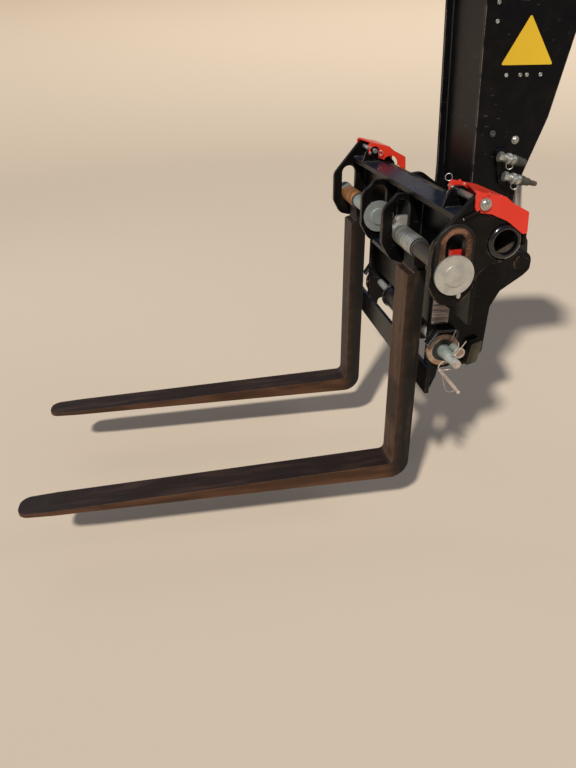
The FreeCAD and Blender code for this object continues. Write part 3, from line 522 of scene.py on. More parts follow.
# %% [markdown]
# The CAD solids take these finishes as they are. Cut plates have sharp edges, and a perfectly sharp
# edge catches no light, so each solid also gets two modifiers: one that joins the corner points the
# file keeps apart, and one that breaks every sharp edge by about a millimetre, as a grinder would.

# %% Finishes and broken edges on the CAD solids
CORNER_GAP, EDGE_BREAK = 0.00002, 0.0011
SOFTENED_ANGLE = math.radians(38)
LOOKS = {
    "left_fork": zinc_eye_fork, "right_fork": rusty_eye_fork,
    "left_fork_shaft": keyed_shaft, "right_fork_shaft": cap_zinc,
    "left_latch": red_paint, "right_latch": red_paint,
    "left_latch_bolt": screw_zinc, "right_latch_bolt": screw_zinc,
    "left_boss": rusty_steel, "right_boss": rusty_steel, "slot_pad": pad_steel,
    "upper_coupler": coupler_zinc, "lower_coupler": coupler_zinc,
    "lock_pin": pin_steel, "barrel_pin": pin_steel,
    "tilt_rod": chrome,
    "left_outer_ear": worn_black, "right_outer_ear": worn_black,
    "left_inner_ear": worn_black, "right_inner_ear": worn_black,
    "left_pin_guard": guard_black, "right_pin_guard": guard_black, "cross_tube": bore_black,
    "left_nose_side": nose_black, "right_nose_side": nose_black,
    "boom_section": nose_black, "nose_front_plate": nose_black,
}
for name, solid in nodes.items():
    look = LOOKS.get(name, black_paint)
    for socket in solid.material_slots:
        socket.link = "OBJECT"
        socket.material = look.material
    joined = solid.modifiers.new("joined_corners", "WELD")
    joined.merge_threshold = CORNER_GAP
    broken = solid.modifiers.new("broken_edges", "BEVEL")
    broken.width = EDGE_BREAK
    broken.segments = 2
    broken.limit_method = "ANGLE"
    broken.angle_limit = SOFTENED_ANGLE
    broken.harden_normals = True
print("solids finished", len(nodes), "of which black", sum(name not in LOOKS for name in nodes))

# %% [markdown]
# The small parts are turned, bent or laid, and a few helpers cover them. A turned part is a profile
# swept round a line: a screw, a washer, a pin, a grease nipple. Six sides instead of many make a nut,
# and a zigzag of the radius makes a knurl. Sharp corners stay sharp, because their edges are marked so.

# %% Turned parts
SHARP = math.radians(35)
SAME_POINT = 0.000002
WASHER_TOP = 2.0


def add_piece(name, data, body, look):
    """Put mesh or curve data into the scene, finished and riding on a body."""
    piece = bpy.data.objects.new(name, data)
    bpy.context.scene.collection.objects.link(piece)
    data.materials.append(look.material)
    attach(piece, body)
    return piece


def add_mesh(name, work, body, look):
    """Turn a working mesh into a piece with smooth faces and sharp corners."""
    bmesh.ops.remove_doubles(work, verts=work.verts, dist=SAME_POINT)
    bmesh.ops.recalc_face_normals(work, faces=work.faces)
    for face in work.faces:
        face.smooth = True
    for edge in work.edges:
        edge.smooth = len(edge.link_faces) == 2 and edge.calc_face_angle(0) < SHARP
    data = bpy.data.meshes.new(name)
    work.to_mesh(data)
    work.free()
    return add_piece(name, data, body, look)


def spokes(direction, count, spin=0.0):
    """Unit vectors evenly round a line."""
    axis = Vector(direction).normalized()
    across = axis.orthogonal().normalized()
    other = axis.cross(across)
    angles = [2 * math.pi * step / count + spin for step in range(count)]
    return [across * math.cos(angle) + other * math.sin(angle) for angle in angles]


def join_rings(work, before, after):
    """Faces between two rings with the same number of corners."""
    for step in range(len(before)):
        following = (step + 1) % len(before)
        work.faces.new((before[step], before[following], after[following], after[step]))


def turn_profile(work, profile, start, direction, sides=28, spin=0.0, zigzag=1.0):
    """Sweep (distance, radius) pairs in millimetres round a line that starts at a point."""
    axis = Vector(direction).normalized()
    rings = []
    for distance, radius in profile:
        centre = start + axis * distance * MILLIMETRE
        rings.append([
            work.verts.new(centre + spoke * radius * (1.0 if step % 2 else zigzag) * MILLIMETRE)
            for step, spoke in enumerate(spokes(axis, sides, spin))])
    for before, after in zip(rings, rings[1:]):
        join_rings(work, before, after)
    if profile[0][1] > 0 and profile[0] != profile[-1]:
        work.faces.new(list(reversed(rings[0])))
        work.faces.new(rings[-1])


def turned_piece(name, body, look, slot, *turns):
    """One piece made of turned profiles."""
    work = bmesh.new()
    for turn in turns:
        turn_profile(work, *turn)
    return add_mesh(name, work, body, look)


def hex_screw(work, centre, outward, flats=13, head=6, washer=10, stud=0.0):
    """A washer, a six-sided head with broken corners and, on a nut, the end of the stud."""
    spin = random.random() * math.pi
    rim, corner, top = washer - 0.6, flats / math.sqrt(3), WASHER_TOP + head
    turn_profile(work, [(0, rim), (0.3, washer), (1.6, washer), (WASHER_TOP, rim)], centre, outward)
    turn_profile(work, [(WASHER_TOP, corner), (top - 1, corner), (top, corner * 0.88)], centre, outward,
                 6, spin)
    turn_profile(work, [(top, corner * 0.8), (top + 0.4, corner * 0.74)], centre, outward, 20)
    if stud:
        turn_profile(work, [(top, stud), (top + 4, stud), (top + 5, stud - 1)], centre, outward, 16)


def socket_screw(work, centre, outward, radius):
    """A round screw head with a sunk socket."""
    head = [(0, radius), (2.6, radius), (3.4, radius - 0.8), (3.4, radius * 0.55), (1.2, radius * 0.5),
            (1.2, 0.01)]
    turn_profile(work, head, centre, outward, 20)


random.seed(7)
print("turned parts ready")

# %% [markdown]
# Wire parts, such as split rings and clips, are one smooth curve with a round section. Weld beads are
# laid by hand in the workshop, so they waver: each bead here is a chain of overlapping ripples whose
# size changes a little from one to the next.

# %% Bent wire and weld beads
RIPPLE, RIPPLE_STEPS, TAPER_STEPS, BEAD_SIDES = 0.0042, 3, 4, 7


def bent_wire(name, points, radius, body, look, closed=False):
    """A wire through points given in metres."""
    data = bpy.data.curves.new(name, "CURVE")
    data.dimensions = "3D"
    data.bevel_depth = radius * MILLIMETRE
    data.bevel_resolution = 3
    data.resolution_u = 6
    data.use_fill_caps = True
    spline = data.splines.new("NURBS")
    spline.points.add(len(points) - 1)
    for target, point in zip(spline.points, points):
        target.co = (*point, 1)
    spline.order_u = 3
    spline.use_cyclic_u = closed
    spline.use_endpoint_u = not closed
    return add_piece(name, data, body, look)


def lay_bead(work, corners, size):
    """One weld bead along a line of corners, in metres."""
    path = []
    for start, end in zip(corners, corners[1:]):
        count = max(1, round((end - start).length / (RIPPLE / RIPPLE_STEPS)))
        path += [start.lerp(end, step / count) for step in range(count)]
    path.append(corners[-1])
    before = None
    for index, point in enumerate(path):
        ahead = path[min(index + 1, len(path) - 1)] - path[max(index - 1, 0)]
        ripple = 0.80 + 0.20 * abs(math.sin(math.pi * index / RIPPLE_STEPS))
        taper = min(1.0, (index + 1) / TAPER_STEPS, (len(path) - index) / TAPER_STEPS)
        radius = size * MILLIMETRE * ripple * taper * (0.92 + 0.16 * random.random())
        ring = [work.verts.new(point + spoke * radius) for spoke in spokes(ahead, BEAD_SIDES)]
        if before:
            join_rings(work, before, ring)
        before = ring


def side_seams(side, *rows):
    """Straight seams, each a distance from the middle and the (forward, up) corners it joins."""
    return [[at(forward, side * across, up) for forward, up in corners] for across, *corners in rows]


def round_seam(forward, side, up, radius, first=0.0, last=360.0):
    """Corners of a seam round a bar that runs across the machine."""
    count = max(8, round(radius * abs(last - first) / 360))
    centre = at(forward, side, up)
    angles = [math.radians(first + (last - first) * step / count) for step in range(count + 1)]
    return [centre + (FORWARD * math.cos(angle) + UPWARD * math.sin(angle)) * radius * MILLIMETRE
            for angle in angles]


def welds(name, body, seams, size=4.0):
    """All the beads of one size on a body, as one piece."""
    work = bmesh.new()
    for seam in seams:
        lay_bead(work, seam, size)
    faces = len(work.faces)
    for face in work.faces:
        face.smooth = True
    data = bpy.data.meshes.new(name)
    work.to_mesh(data)
    work.free()
    add_piece(name, data, body, weld_steel)
    return faces


print("wire and beads ready")

# %% [markdown]
# The carriage is welded from flat plates. The beads lie where two plates meet: along the top bar at
# each ear and latch lug, down the back plate beside each ear, round the two bosses and at the rail.

# %% Weld beads of the carriage
BAR_FRONT, BAR_BACK, BAR_TOP, BAR_UNDER = 22, -55, 914, 899
OUTER_EAR, INNER_EAR, PLATE = 490, 102, 20
BACK_FACE, OUTER_EAR_FOOT, INNER_EAR_FOOT, LEG_FOOT, LEG_TOP = -28, 736, 692, 644, 712
LEG_INNER, LEG_OUTER = 292, 312
PIN_FORWARD, PIN_UP, BOSS_RADIUS = -49, 490, 49
RAIL_TOP, RAIL_FOOT, RAIL_BACK = 440, 362, -12
LATCH_LUG_FACES = (364, 376)
seams = []
for side in (NEAR, FAR):
    seams += side_seams(
        side,
        (OUTER_EAR, (BAR_BACK + 4, BAR_TOP), (BAR_FRONT - 2, BAR_TOP)),
        (OUTER_EAR, (BAR_FRONT, BAR_UNDER), (BACK_FACE, BAR_UNDER)),
        (OUTER_EAR, (BACK_FACE, OUTER_EAR_FOOT), (BACK_FACE, BAR_UNDER - 7)))
    for face in (INNER_EAR, INNER_EAR + PLATE):
        seams += side_seams(
            side,
            (face, (BACK_FACE, INNER_EAR_FOOT), (BACK_FACE, BAR_UNDER - 3)),
            (face, (BACK_FACE + 4, BAR_UNDER), (BAR_FRONT, BAR_UNDER)))
    seams += side_seams(
        side,
        (LEG_INNER, (-5, RAIL_TOP), (RAIL_BACK, RAIL_TOP)),
        (LEG_OUTER, (RAIL_BACK, RAIL_FOOT + 2), (RAIL_BACK, RAIL_TOP - 4)),
        (LEG_OUTER, (BACK_FACE, LEG_FOOT), (BACK_FACE, LEG_TOP)),
        (LEG_INNER, (RAIL_BACK, RAIL_FOOT), (RAIL_BACK, RAIL_TOP - 4)))
    seams.append(round_seam(PIN_FORWARD, side * LEG_OUTER, PIN_UP, BOSS_RADIUS))
    seams += side_seams(side, *[(face, (-46, BAR_TOP), (14, BAR_TOP)) for face in LATCH_LUG_FACES])
faces = welds("carriage_welds", "carriage", seams)
print("carriage seams", len(seams), "faces", faces)

# %% [markdown]
# The hitch is welded too: its two side plates to the cross tube and to the front plate, the eye at
# its foot, and the two lugs of the tilt cylinder.

# %% Weld beads of the hitch
TUBE_FORWARD, TUBE_UP, TUBE_RADIUS = -88, 857, 45
HITCH_INNER, HITCH_OUTER, LOWER_EYE_RADIUS = 142, 160, 38
PLATE_FRONT, PLATE_BACK, PLATE_FOOT, PLATE_TOP = -88, -100, 436, 786
LUG_FACES, LUG_FOOT, LUG_TOP = (40, 60), 562, 714
seams = []
for side in (NEAR, FAR):
    for face in (HITCH_INNER, HITCH_OUTER):
        seams.append(round_seam(TUBE_FORWARD, side * face, TUBE_UP, TUBE_RADIUS + 1))
    seams += side_seams(side, *[(HITCH_INNER, (depth, PLATE_FOOT), (depth, PLATE_TOP))
                                for depth in (PLATE_FRONT, PLATE_BACK)])
    seams.append(round_seam(PIN_FORWARD, side * HITCH_INNER, PIN_UP, LOWER_EYE_RADIUS))
    seams += side_seams(side, *[(face, (PLATE_BACK, LUG_FOOT), (PLATE_BACK, LUG_TOP))
                                for face in LUG_FACES])
faces = welds("hitch_welds", "carriage", seams, 4.5)
print("hitch seams", len(seams), "faces", faces)

# %% [markdown]
# On the boom head the nose plates lap over the boom section, and the cover plate sits a finger's
# width inside the edges of the side plates, which leaves a corner for a long bead down the front.

# %% Weld beads of the boom head
NOSE_OUTER, NOSE_INNER, BOOM_SIDE = 137, 127, 127
LAP_BACK, LAP_FOOT, LAP_TOP = -560, 1354, 1628
NOSE_CORNER = ((-184, 930), (-165, 1371), (-156, 1590))
seams = []
for side in (NEAR, FAR):
    seams += side_seams(
        side,
        (BOOM_SIDE, (LAP_BACK, LAP_FOOT), (LAP_BACK, LAP_TOP)),
        (NOSE_INNER, *NOSE_CORNER),
        (BOOM_SIDE, (-452, LAP_FOOT - 4), (LAP_BACK + 4, LAP_FOOT - 4)))
faces = welds("boom_head_welds", "boom_head", seams, 3.6)
print("boom head seams", len(seams), "faces", faces)

# %% [markdown]
# Screws. The side of the nose shows a row of four small ones under its blank sign, two near the front
# edge, and a larger bolt lower down beside a rubber plug. The far side gets the same, because such a
# nose is symmetrical. Three nuts clamp the nose to the boom, and two screws hold the barrel pin.

# %% Screws on the nose
SMALL_SCREWS = ((-222, 1200), (-262, 1200), (-281, 1200), (-320, 1200), (-176, 1367), (-178, 1325))
LARGE_BOLT, PLUG = (-276, 1036), (-207, 1054)
BOOM_NUTS = ((-520, 1410), (-520, 1480), (-520, 1550))
BARREL_SCREWS = ((-252, 1540), (-298, 1460))


def on_nose(side, place):
    forward, up = place
    return at(forward, side * NOSE_OUTER, up)


work = bmesh.new()
for side in (NEAR, FAR):
    outward = SIDEWAYS * side
    for place in SMALL_SCREWS:
        socket_screw(work, on_nose(side, place), outward, 5.2)
    hex_screw(work, on_nose(side, LARGE_BOLT), outward, 15, 6, 11)
    for place in BOOM_NUTS:
        hex_screw(work, on_nose(side, place), outward, 19, 8, 14, 5)
    for place in BARREL_SCREWS:
        hex_screw(work, on_nose(side, place), outward, 17, 7, 12)
print("screw faces", len(work.faces))
add_mesh("nose_screws", work, "boom_head", screw_zinc)
rubber = bare_steel("black_rubber", (0.012, 0.012, 0.012), (0.02, 0.019, 0.018), 0.0, 0.55, 0.0)
plug = [(0, 8.5), (1.2, 8.5), (2.0, 7.6), (2.0, 3.2), (0.8, 3.0), (0.8, 0.01)]
turned_piece("nose_plugs", "boom_head", rubber, "black_paint",
             *[(plug, on_nose(side, PLUG), SIDEWAYS * side, 24) for side in (NEAR, FAR)])

# %% [markdown]
# The forks carry a weld too: the eye is a tube welded into the neck. Its bead runs over the front and
# back of the neck and follows the tube round on both flanks. It stays bare, so it takes the finish of
# the forged steel. The worn pad of the slot is welded on all round, with a painted bead.

# %% Weld beads of the forks and the slot pad
EYE_RADIUS, EYE_SEAM = 28, (-90, -165)
NECK = {"left": (168, 252), "right": (-451, -367)}
NECK_EDGES = ((39, 754), (4, 777))
PAD_RADIUS, PAD_FACE, SLOT_TOP = 46.5, 511, 858
faces = 0
for name, flanks in NECK.items():
    work = bmesh.new()
    for forward, up in NECK_EDGES:
        lay_bead(work, [at(forward, side, up) for side in flanks], 4.5)
    for side in flanks:
        lay_bead(work, round_seam(SHAFT_FORWARD, side, SHAFT_UP, EYE_RADIUS + 1, *EYE_SEAM), 4.5)
    faces += len(work.faces)
    look = zinc_eye_fork if name == "left" else rusty_eye_fork
    add_mesh(name + "_eye_welds", work, name + "_fork", look)
pad_seam = round_seam(SHAFT_FORWARD, PAD_FACE, SLOT_TOP, PAD_RADIUS, 0, 180)
pad_seam += round_seam(SHAFT_FORWARD, PAD_FACE, SHAFT_UP, PAD_RADIUS, 180, 360)
pad_seam.append(pad_seam[0])
faces += welds("slot_pad_weld", "carriage", [pad_seam], 2.6)
print("fork and pad bead faces", faces)

# %% [markdown]
# The two hydraulic couplers are turned parts with a hex nut, a knurled locking sleeve and a dust cap.
# The CAD holds each as a plain stepped bar, so a finer piece stands for it in the same place. The
# knurl is a fine zigzag of the radius, which catches the light as the real one does.

# %% Hydraulic couplers
COUPLER_SIDE, COUPLER_LEAN, KNURL_SIDES = 164.3, math.radians(14), 44
COUPLER_LINE = Vector((-math.cos(COUPLER_LEAN), 0, -math.sin(COUPLER_LEAN)))
COUPLERS = {"upper": at(-219, COUPLER_SIDE, 998), "lower": at(-242, COUPLER_SIDE, 944)}
NUT = [(0, 12.5), (1, 13.6), (12, 13.6), (13, 12.5)]
COLLAR = [(13, 9.5), (18, 9.5), (18.5, 12), (21, 12), (21.5, 10), (24, 10)]
KNURL = [(24, 13.5), (25, 15), (35, 15), (36, 13.5)]
SLEEVE = [(36, 11), (39, 11), (40, 14), (45, 14.6), (50, 14), (51, 11.5), (54, 11.5)]
DUST_CAP = [(53, 11), (54, 13.5), (60, 13.8), (66, 13), (67, 11.5), (82, 10.5), (86, 7)]
END_PLUG = [(84, 6.5), (86, 7.5), (104, 7.0), (108, 5.5)]
olive_cap = bare_steel("olive_dust_cap", (0.055, 0.058, 0.040), (0.030, 0.030, 0.022), 0.0, 0.5, 0.1)
brown_plug = bare_steel("brown_plug", (0.10, 0.062, 0.042), (0.06, 0.037, 0.026), 0.0, 0.5, 0.1)
for name, start in COUPLERS.items():
    piece = turned_piece(
        name + "_coupler_body", "boom_head", coupler_zinc, "zinc_steel",
        (NUT, start, COUPLER_LINE, 6, 0.3), (COLLAR, start, COUPLER_LINE),
        (KNURL, start, COUPLER_LINE, KNURL_SIDES, 0.0, 0.94), (SLEEVE, start, COUPLER_LINE))
    cap = turned_piece(name + "_coupler_cap", "boom_head", olive_cap, "black_paint",
                       (DUST_CAP, start, COUPLER_LINE))
    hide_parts(name + "_coupler")
    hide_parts(name + "_coupler")
turned_piece("lower_coupler_plug", "boom_head", brown_plug, "black_paint",
             (END_PLUG, COUPLERS["lower"], COUPLER_LINE))
print("couplers in place of", [name for name in nodes if name.endswith("_coupler")])

# %% [markdown]
# Small rings hang from each coupler and from the latch pins. A ring of wire hangs in a plane, so its
# axis is level, and its top passes over what carries it.

# %% Rings of wire
RING_CORNERS = 12
RINGS = {
    "upper_pull_ring": ("boom_head", at(-256, COUPLER_SIDE, 971), 9.5, (0.35, 1, 0), 1.5),
    "lower_pull_ring": ("boom_head", at(-280, COUPLER_SIDE, 916), 10.5, (0.35, 1, 0), 1.6),
    "near_latch_ring": ("carriage", at(2, 351, 983), 8.8, (0.4, 1, 0.1), 1.0),
    "far_latch_ring": ("carriage", at(-40, -351, 944), 8, (0.4, 1, 0.1), 1.2),
}
for name, (body, centre, radius, axis, thickness) in RINGS.items():
    corners = [centre + spoke * radius * MILLIMETRE for spoke in spokes(axis, RING_CORNERS)]
    bent_wire(name, corners, thickness, body, screw_zinc, closed=True)
print("rings", sorted(RINGS))

# %% [markdown]
# Each latch turns on a long bolt. Its plain round head is one of the solids, so a dome with a socket
# goes over it on the outer cheek, and a nut's face inside. Two small holding pins show beside the inner
# cheek, and two nipples stand on the near latch.

# %% Latch bolts and pins
LATCH_FACE, INNER_CHEEK, BOLT_FORWARD, BOLT_UP = 524, 351, -20, 951
DOME = [(0, 9.6), (2.2, 9.2), (3.6, 7.6), (4.2, 5.0), (4.2, 3.4), (2.2, 3.2), (2.2, 0.01)]
NUT_FACE, LATCH_NIPPLE = [(0, 7.5), (2, 8.2), (3, 7.5)], [(0, 3.5), (2, 3.5), (4, 2.6)]
HOLDING_PINS, LATCH_NIPPLES = ((963, 4.2), (945, 4.6)), ((-30, 968), (-62, 958))
turns = []
for side in (NEAR, FAR):
    outward = SIDEWAYS * side
    turns.append((DOME, at(BOLT_FORWARD, side * LATCH_FACE, BOLT_UP), outward, 24))
    turns.append((NUT_FACE, at(BOLT_FORWARD, side * INNER_CHEEK, BOLT_UP), -outward, 20))
    for up, radius in HOLDING_PINS:
        pin = [(-22, radius - 1), (0, radius - 1), (0, radius), (3, radius), (4, radius - 1)]
        turns.append((pin, at(-2, side * (INNER_CHEEK + 1), up), -outward, 18))
turned_piece("latch_pins", "carriage", screw_zinc, "zinc_steel", *turns)
turned_piece("latch_nipples", "carriage", screw_zinc, "zinc_steel",
             *[(LATCH_NIPPLE, at(forward, 376, up), UPWARD, 14) for forward, up in LATCH_NIPPLES])
print("latch pins and bolt heads in place")

# %% [markdown]
# The lock pin at the foot of the near leg is the busiest corner: a plated sleeve over the pin on a
# black gasket, a tab beside it that ends in a washer with a plug, and a clip of bent wire.

# %% Lock pin sleeve, washer and clip
TAB_FORWARD, TAB_UP = -64, 514
PIN_SLEEVE = [(0, 18.5), (2, 20), (9, 20.5), (17, 19.5), (24, 17.5), (54, 15.5), (56, 14)]
TAB_WASHER = [(0, 15), (1, 16), (5, 16), (6, 15), (6, 10.5), (2, 10)]
PIN_END = [(0, 12.4), (2.5, 12.2), (3.5, 10.5), (3.5, 5), (1.5, 4.2), (1.5, 0.01)]
TAB_PLUG = [(0, 10), (3, 9.6), (3.6, 7), (3.2, 0.01)]
GASKET, TAB = [(0, 34.5), (0.8, 34), (0.8, 20)], [(0, 9), (1, 10), (42, 10), (43, 9)]
grey_zinc = bare_steel("grey_zinc", (0.42, 0.49, 0.45), (0.26, 0.32, 0.29), 0.45, 0.40, 0.2)
pale_wire = bare_steel("pale_wire", (0.62, 0.55, 0.50), (0.42, 0.35, 0.31), 0.6, 0.40, 0.1)


def tie_wire(name, radius, *places):
    """A pale wire on the carriage, through (forward, side, up) places."""
    bent_wire(name, [at(*place) for place in places], radius, "carriage", pale_wire)


turned_piece("lock_pin_sleeve", "carriage", grey_zinc, "zinc_steel",
             (PIN_SLEEVE, at(PIN_FORWARD, 323, PIN_UP), SIDEWAYS, 40))
turned_piece("lock_pin_washer", "carriage", pale_wire, "zinc_steel",
             (TAB_WASHER, at(TAB_FORWARD, 394, TAB_UP), SIDEWAYS, 36),
             (PIN_END, at(PIN_FORWARD, 420, PIN_UP), SIDEWAYS, 30))
turned_piece("washer_plug", "carriage", rusty_steel, "zinc_steel",
             (TAB_PLUG, at(TAB_FORWARD, 395, TAB_UP), SIDEWAYS, 28))
turned_piece("lock_pin_gasket", "carriage", rubber, "black_paint",
             (GASKET, at(PIN_FORWARD, 322, PIN_UP), SIDEWAYS, 44))
turned_piece("lock_pin_tab", "carriage", grey_zinc, "zinc_steel",
             (TAB, at(TAB_FORWARD, 350, TAB_UP), SIDEWAYS, 28))
tie_wire("lock_pin_clip", 1.5, (-55, 403, 549), (-58, 403, 536), (-50, 403, 526), (-42, 402, 516),
         (-44, 402, 508), (-52, 402, 511), (-61, 403, 525), (-69, 403, 538), (-78, 403, 552))
tie_wire("guard_wire", 1.2, (-58, 351, 536), (-63, 351, 547), (-68, 351, 564))
print("lock pin parts in place")

# %% [markdown]
# The spare pin is a plain pale rod with a head. A loop of thin wire ties it to the sleeve, so that it
# can't be lost, and it leans, because the wire holds it at one side.

# %% Spare pin on its wire
ROD_RADIUS, HEAD_RADIUS = 5.4, 6.4
rod_top, rod_foot = at(-30, 352, 443), at(-101, 352, 358)
rod_line = rod_foot - rod_top
rod_length = rod_line.length / MILLIMETRE
rod = [(0, 4.2), (1, ROD_RADIUS), (rod_length - 8, ROD_RADIUS), (rod_length - 7, HEAD_RADIUS),
       (rod_length - 1, HEAD_RADIUS), (rod_length, ROD_RADIUS)]
turned_piece("spare_pin", "carriage", pale_wire, "zinc_steel", (rod, rod_top, rod_line, 18))
tie_wire("spare_pin_loop", 1.9, (-66, 372, 462), (-46, 352, 471), (-33, 350, 462), (-27, 350, 450),
         (-30, 352, 441), (-43, 352, 439), (-58, 354, 441), (-67, 366, 447), (-66, 378, 458))
tie_wire("spare_pin_tie", 0.9, (-38, 352, 432), (-47, 350, 405), (-55, 350, 380), (-63, 350, 364),
         (-76, 350, 362), (-92, 351, 368))
print("spare pin", round(rod_length), "mm long")

# %% [markdown]
# Plates and signs stay blank. The yellow triangle on the nose and the data plate on the leg are thin
# sheets with rounded corners: an outline in the side plane, filled and given a thickness.

# %% Blank plates
SIGN = ((-270, 1341), (-203, 1224), (-351, 1224))
LABEL_BACK, LABEL_FRONT, LABEL_FOOT, LABEL_TOP = -58, -8, 571, 657
RIVET, RIVET_INSET = [(0, 2.4), (0.8, 2.2), (1.3, 1.2), (1.4, 0.01)], 4


def plate_piece(name, body, look, corners, side, thickness, rounding):
    """A thin plate in the side plane, from (forward, up) corners, facing away from the middle."""
    outline = []
    for index, corner in enumerate(corners):
        here = Vector(corner)
        before = (Vector(corners[index - 1]) - here).normalized() * rounding
        after = (Vector(corners[(index + 1) % len(corners)]) - here).normalized() * rounding
        for share in (0.0, 0.25, 0.5, 0.75, 1.0):
            outline.append(here + before * (1 - share) ** 2 + after * share ** 2)
    work = bmesh.new()
    faces = [side, side + thickness * (NEAR if side > 0 else FAR)]
    rings = [[work.verts.new(at(x, face, up)) for x, up in outline] for face in faces]
    for ring in rings:
        work.faces.new(ring)
    join_rings(work, *rings)
    add_mesh(name, work, body, look)


yellow_sheet = painted_steel(
    "yellow_sheet", (0.72, 0.47, 0.032), (0.66, 0.42, 0.028), gloss=0.42, dust=0.12, wear_and_edge_highlight=0.1,
    edge_colour=(0.10, 0.08, 0.03))
label_sheet = bare_steel(
    "data_plate_sheet", (0.30, 0.25, 0.23), (0.030, 0.025, 0.025), 0.5, 0.34, 0.1,
    (0.02, 0.018, 0.018), (0.3, 0.3, 5.0))
for name, side in (("left_yellow_sign", NEAR), ("right_yellow_sign", FAR)):
    plate_piece(name, "boom_head", yellow_sheet, SIGN, side * NOSE_OUTER, 1.2, 7)
label = [(LABEL_FRONT, LABEL_FOOT), (LABEL_FRONT, LABEL_TOP), (LABEL_BACK, LABEL_TOP),
         (LABEL_BACK, LABEL_FOOT)]
plate_piece("data_plate", "carriage", label_sheet, label, LEG_OUTER, 1.0, 3)
rivets = [(forward, up) for forward in (LABEL_BACK + RIVET_INSET, LABEL_FRONT - RIVET_INSET)
          for up in (LABEL_FOOT + RIVET_INSET, LABEL_TOP - RIVET_INSET)]
turned_piece("data_plate_rivets", "carriage", screw_zinc, "zinc_steel",
             *[(RIVET, at(forward, LEG_OUTER + 1, up), SIDEWAYS, 12) for forward, up in rivets])
print("blank plates in place")

# %% [markdown]
# Large pins need something that keeps them in. Screws hold the pivot pin and the barrel pin, and the
# short tilt pins have a snap ring in a groove. Grease nipples sit where a grease gun can reach them.

# %% Keepers, snap rings and nipples
NIPPLE = [(0, 3.6), (3, 3.6), (3.2, 2.6), (6, 2.4), (7, 2.9), (8.5, 2.0), (9, 0.8)]
SNAP_RING = [(0, 22.3), (0, 26), (2.5, 26), (2.5, 22.3), (0, 22.3)]
PIVOT_FORWARD, PIVOT_UP, PIVOT_FACE = -228, 800, 168
PIVOT_SCREWS = ((-252, 816), (-204, 784))
LUG_PIN_FORWARD, LUG_PIN_UP, LUG_PIN_FACE = -400, 649, 62
BARREL_PIN_FORWARD, BARREL_PIN_UP, BARREL_PIN_FACE = -275, 1500, 143
work = bmesh.new()
for side in (NEAR, FAR):
    outward = SIDEWAYS * side
    for forward, up in PIVOT_SCREWS:
        hex_screw(work, at(forward, side * PIVOT_FACE, up), outward, 17, 7, 11)
    turn_profile(work, NIPPLE, at(PIVOT_FORWARD, side * PIVOT_FACE, PIVOT_UP), outward, 14)
add_mesh("pin_keepers", work, "carriage", screw_zinc)
rings = [(SNAP_RING, at(LUG_PIN_FORWARD, side * LUG_PIN_FACE, LUG_PIN_UP), SIDEWAYS * side, 30)
         for side in (NEAR, FAR)]
turned_piece("lug_pin_rings", "carriage", worn_black, "black_paint", *rings)
work = bmesh.new()
for side in (NEAR, FAR):
    outward = SIDEWAYS * side
    hex_screw(work, at(BARREL_PIN_FORWARD + 39, side * NOSE_OUTER, BARREL_PIN_UP), outward, 17, 7, 11)
    pin_end = at(BARREL_PIN_FORWARD, side * BARREL_PIN_FACE, BARREL_PIN_UP)
    turn_profile(work, NIPPLE, pin_end, outward, 14)
add_mesh("barrel_pin_keepers", work, "boom_head", screw_zinc)
print("keepers in place")

# %% [markdown]
# The tilt cylinder needs oil. Two steel pipes leave the ports of the barrel, run along its back under
# clamps and end in fittings near its top, where hoses of the machine would join them. They lie half a
# right angle to either side, so that the boom's rear plate stays clear when the cylinder swings.

# %% Pipes of the tilt cylinder
BARREL_AT, LUG_AT = at(BARREL_PIN_FORWARD, 0, BARREL_PIN_UP), at(LUG_PIN_FORWARD, 0, LUG_PIN_UP)
STROKE_LINE = (LUG_AT - BARREL_AT).normalized()
BARREL_BACK = Vector((STROKE_LINE.z, 0, -STROKE_LINE.x))
PIPE_LINE = {side: (BARREL_BACK + SIDEWAYS * side).normalized() for side in (NEAR, FAR)}
PORTS = {NEAR: ("rod_side_pipe", 440), FAR: ("head_side_pipe", 84)}
PIPE_RADIUS, PIPE_REACH, PIPE_TOP, CLAMPS = 5.5, 66, 60, (170, 330)
PORT_BOSS = [(0, 13), (9, 13), (10, 12), (10, 9)]
PORT_NUT, END_NUT = [(0, 9), (1, 9.8), (5, 9.8), (6, 9)], [(0, 9), (1, 9.8), (12, 9.8), (13, 9)]
BARREL_BAND = [(0, 50.5), (0, 53), (16, 53), (16, 50.5), (0, 50.5)]
PIPE_BAND, BAND_SCREW = [(0, 6), (0, 9), (16, 9), (16, 6), (0, 6)], [(0, 4), (8, 4)]


def by_barrel(distance, reach, side):
    """A point on one pipe's line, in millimetres along the cylinder and out from its middle."""
    return BARREL_AT + (STROKE_LINE * distance + PIPE_LINE[side] * reach) * MILLIMETRE


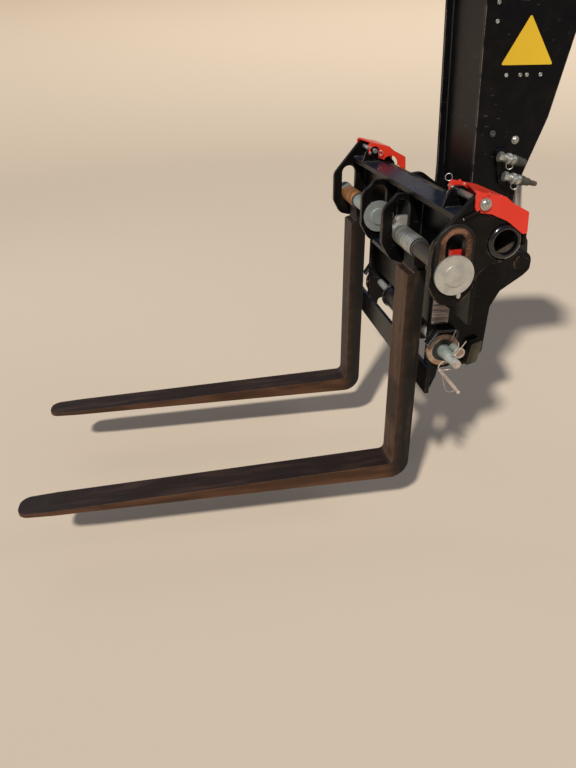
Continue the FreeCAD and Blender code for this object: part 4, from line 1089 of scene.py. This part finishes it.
print("barrel leans", round(math.degrees(math.atan2(-STROKE_LINE.x, -STROKE_LINE.z)), 1), "degrees")
turns = []
for side, (name, port) in PORTS.items():
    corner = [by_barrel(port, 50, side), by_barrel(port, 60, side),
              by_barrel(port - 6, PIPE_REACH, side)]
    run = [by_barrel(distance, PIPE_REACH, side) for distance in (port - 24, port / 2 + 30, PIPE_TOP)]
    bent_wire(name, corner + run, PIPE_RADIUS, "tilt_barrel", weld_steel)
    turns.append((PORT_BOSS, by_barrel(port, 47, side), PIPE_LINE[side], 24))
    turns.append((PORT_NUT, by_barrel(port, 56, side), PIPE_LINE[side], 6))
    turns.append((END_NUT, by_barrel(PIPE_TOP + 2, PIPE_REACH, side), -STROKE_LINE, 6))
turned_piece("cylinder_ports", "tilt_barrel", screw_zinc, "zinc_steel", *turns)
turns = []
for distance in CLAMPS:
    turns.append((BARREL_BAND, BARREL_AT + STROKE_LINE * distance * MILLIMETRE, STROKE_LINE, 48))
    for side in (NEAR, FAR):
        turns.append((PIPE_BAND, by_barrel(distance, PIPE_REACH, side), STROKE_LINE, 20))
        turns.append((BAND_SCREW, by_barrel(distance + 8, 51, side), PIPE_LINE[side], 12))
turned_piece("pipe_clamps", "tilt_barrel", black_paint, "black_paint", *turns)
print("cylinder dressed")

# %% [markdown]
# A few small things are left. A stop block sits on the hitch behind the lock pin, a short rod stops the
# latch, two nubs stand on it, a pale block keeps the near shaft from turning, and a nipple points down
# under the shaft's cap. The cross tube ends in turned lips, which catch the light as rings.

# %% Stop block, stop rod, shaft block and tube lips
STOP_BLOCK = ((-204, 433), (-240, 444), (-229, 371), (-194, 361))
SHAFT_BLOCK = ((-7, 792), (-7, 828), (38, 828), (38, 792))
ROD_END = [(0, 4.1), (0.8, 4.1), (1.2, 3.2), (1.2, 0.01)]
NUB = [(-3, 3.6), (1.5, 3.6), (3, 2.4), (3, 0.01)]
CAP_NIPPLE = [(-2, 5.6), (6, 5.6), (8, 4.4), (10, 4.4), (11, 3)]
LIP = [(-2, 43), (2, 43), (5, 41.5), (9, 37), (10, 33.5), (9, 30.5), (4, 29), (-3, 28.6), (-2, 43)]
stop_from, stop_to = at(-12, 514, 935), at(26, 514, 917)
block_steel = bare_steel(
    "stop_block_steel", (0.072, 0.066, 0.036), (0.030, 0.024, 0.015), 0.0, 0.55, 0.2)
lip_black = painted_steel(
    "lip_black", (0.003, 0.003, 0.005), (0.006, 0.005, 0.006), gloss=0.16, dust=0.05, wear_and_edge_highlight=0.6,
    edge_colour=(0.14, 0.11, 0.09), shine=0.8, specular=0.3)
plate_piece("hitch_stop_block", "carriage", block_steel, STOP_BLOCK, HITCH_OUTER, 30, 4)
bent_wire("latch_stop_rod", [stop_from, stop_to], 4.3, "carriage", worn_black)
turned_piece("latch_stop_end", "carriage", screw_zinc, "zinc_steel",
             (ROD_END, stop_to, stop_to - stop_from, 18))
turned_piece("latch_nubs", "carriage", red_paint, "red_paint",
             *[(NUB, at(-28, side, 973), UPWARD, 18) for side in (351, 517)])
plate_piece("near_shaft_block", "left_shaft", shaft_zinc, SHAFT_BLOCK, 66, 32, 14)
turned_piece("near_cap_nipple", "left_shaft", shaft_zinc, "zinc_steel",
             (CAP_NIPPLE, at(19, 521, 738), -UPWARD, 20))
lips = [(LIP, at(TUBE_FORWARD, side * 506, TUBE_UP), SIDEWAYS * side, 56) for side in (NEAR, FAR)]
turned_piece("tube_lips", "carriage", lip_black, "black_paint", *lips)
print("last small parts in place")
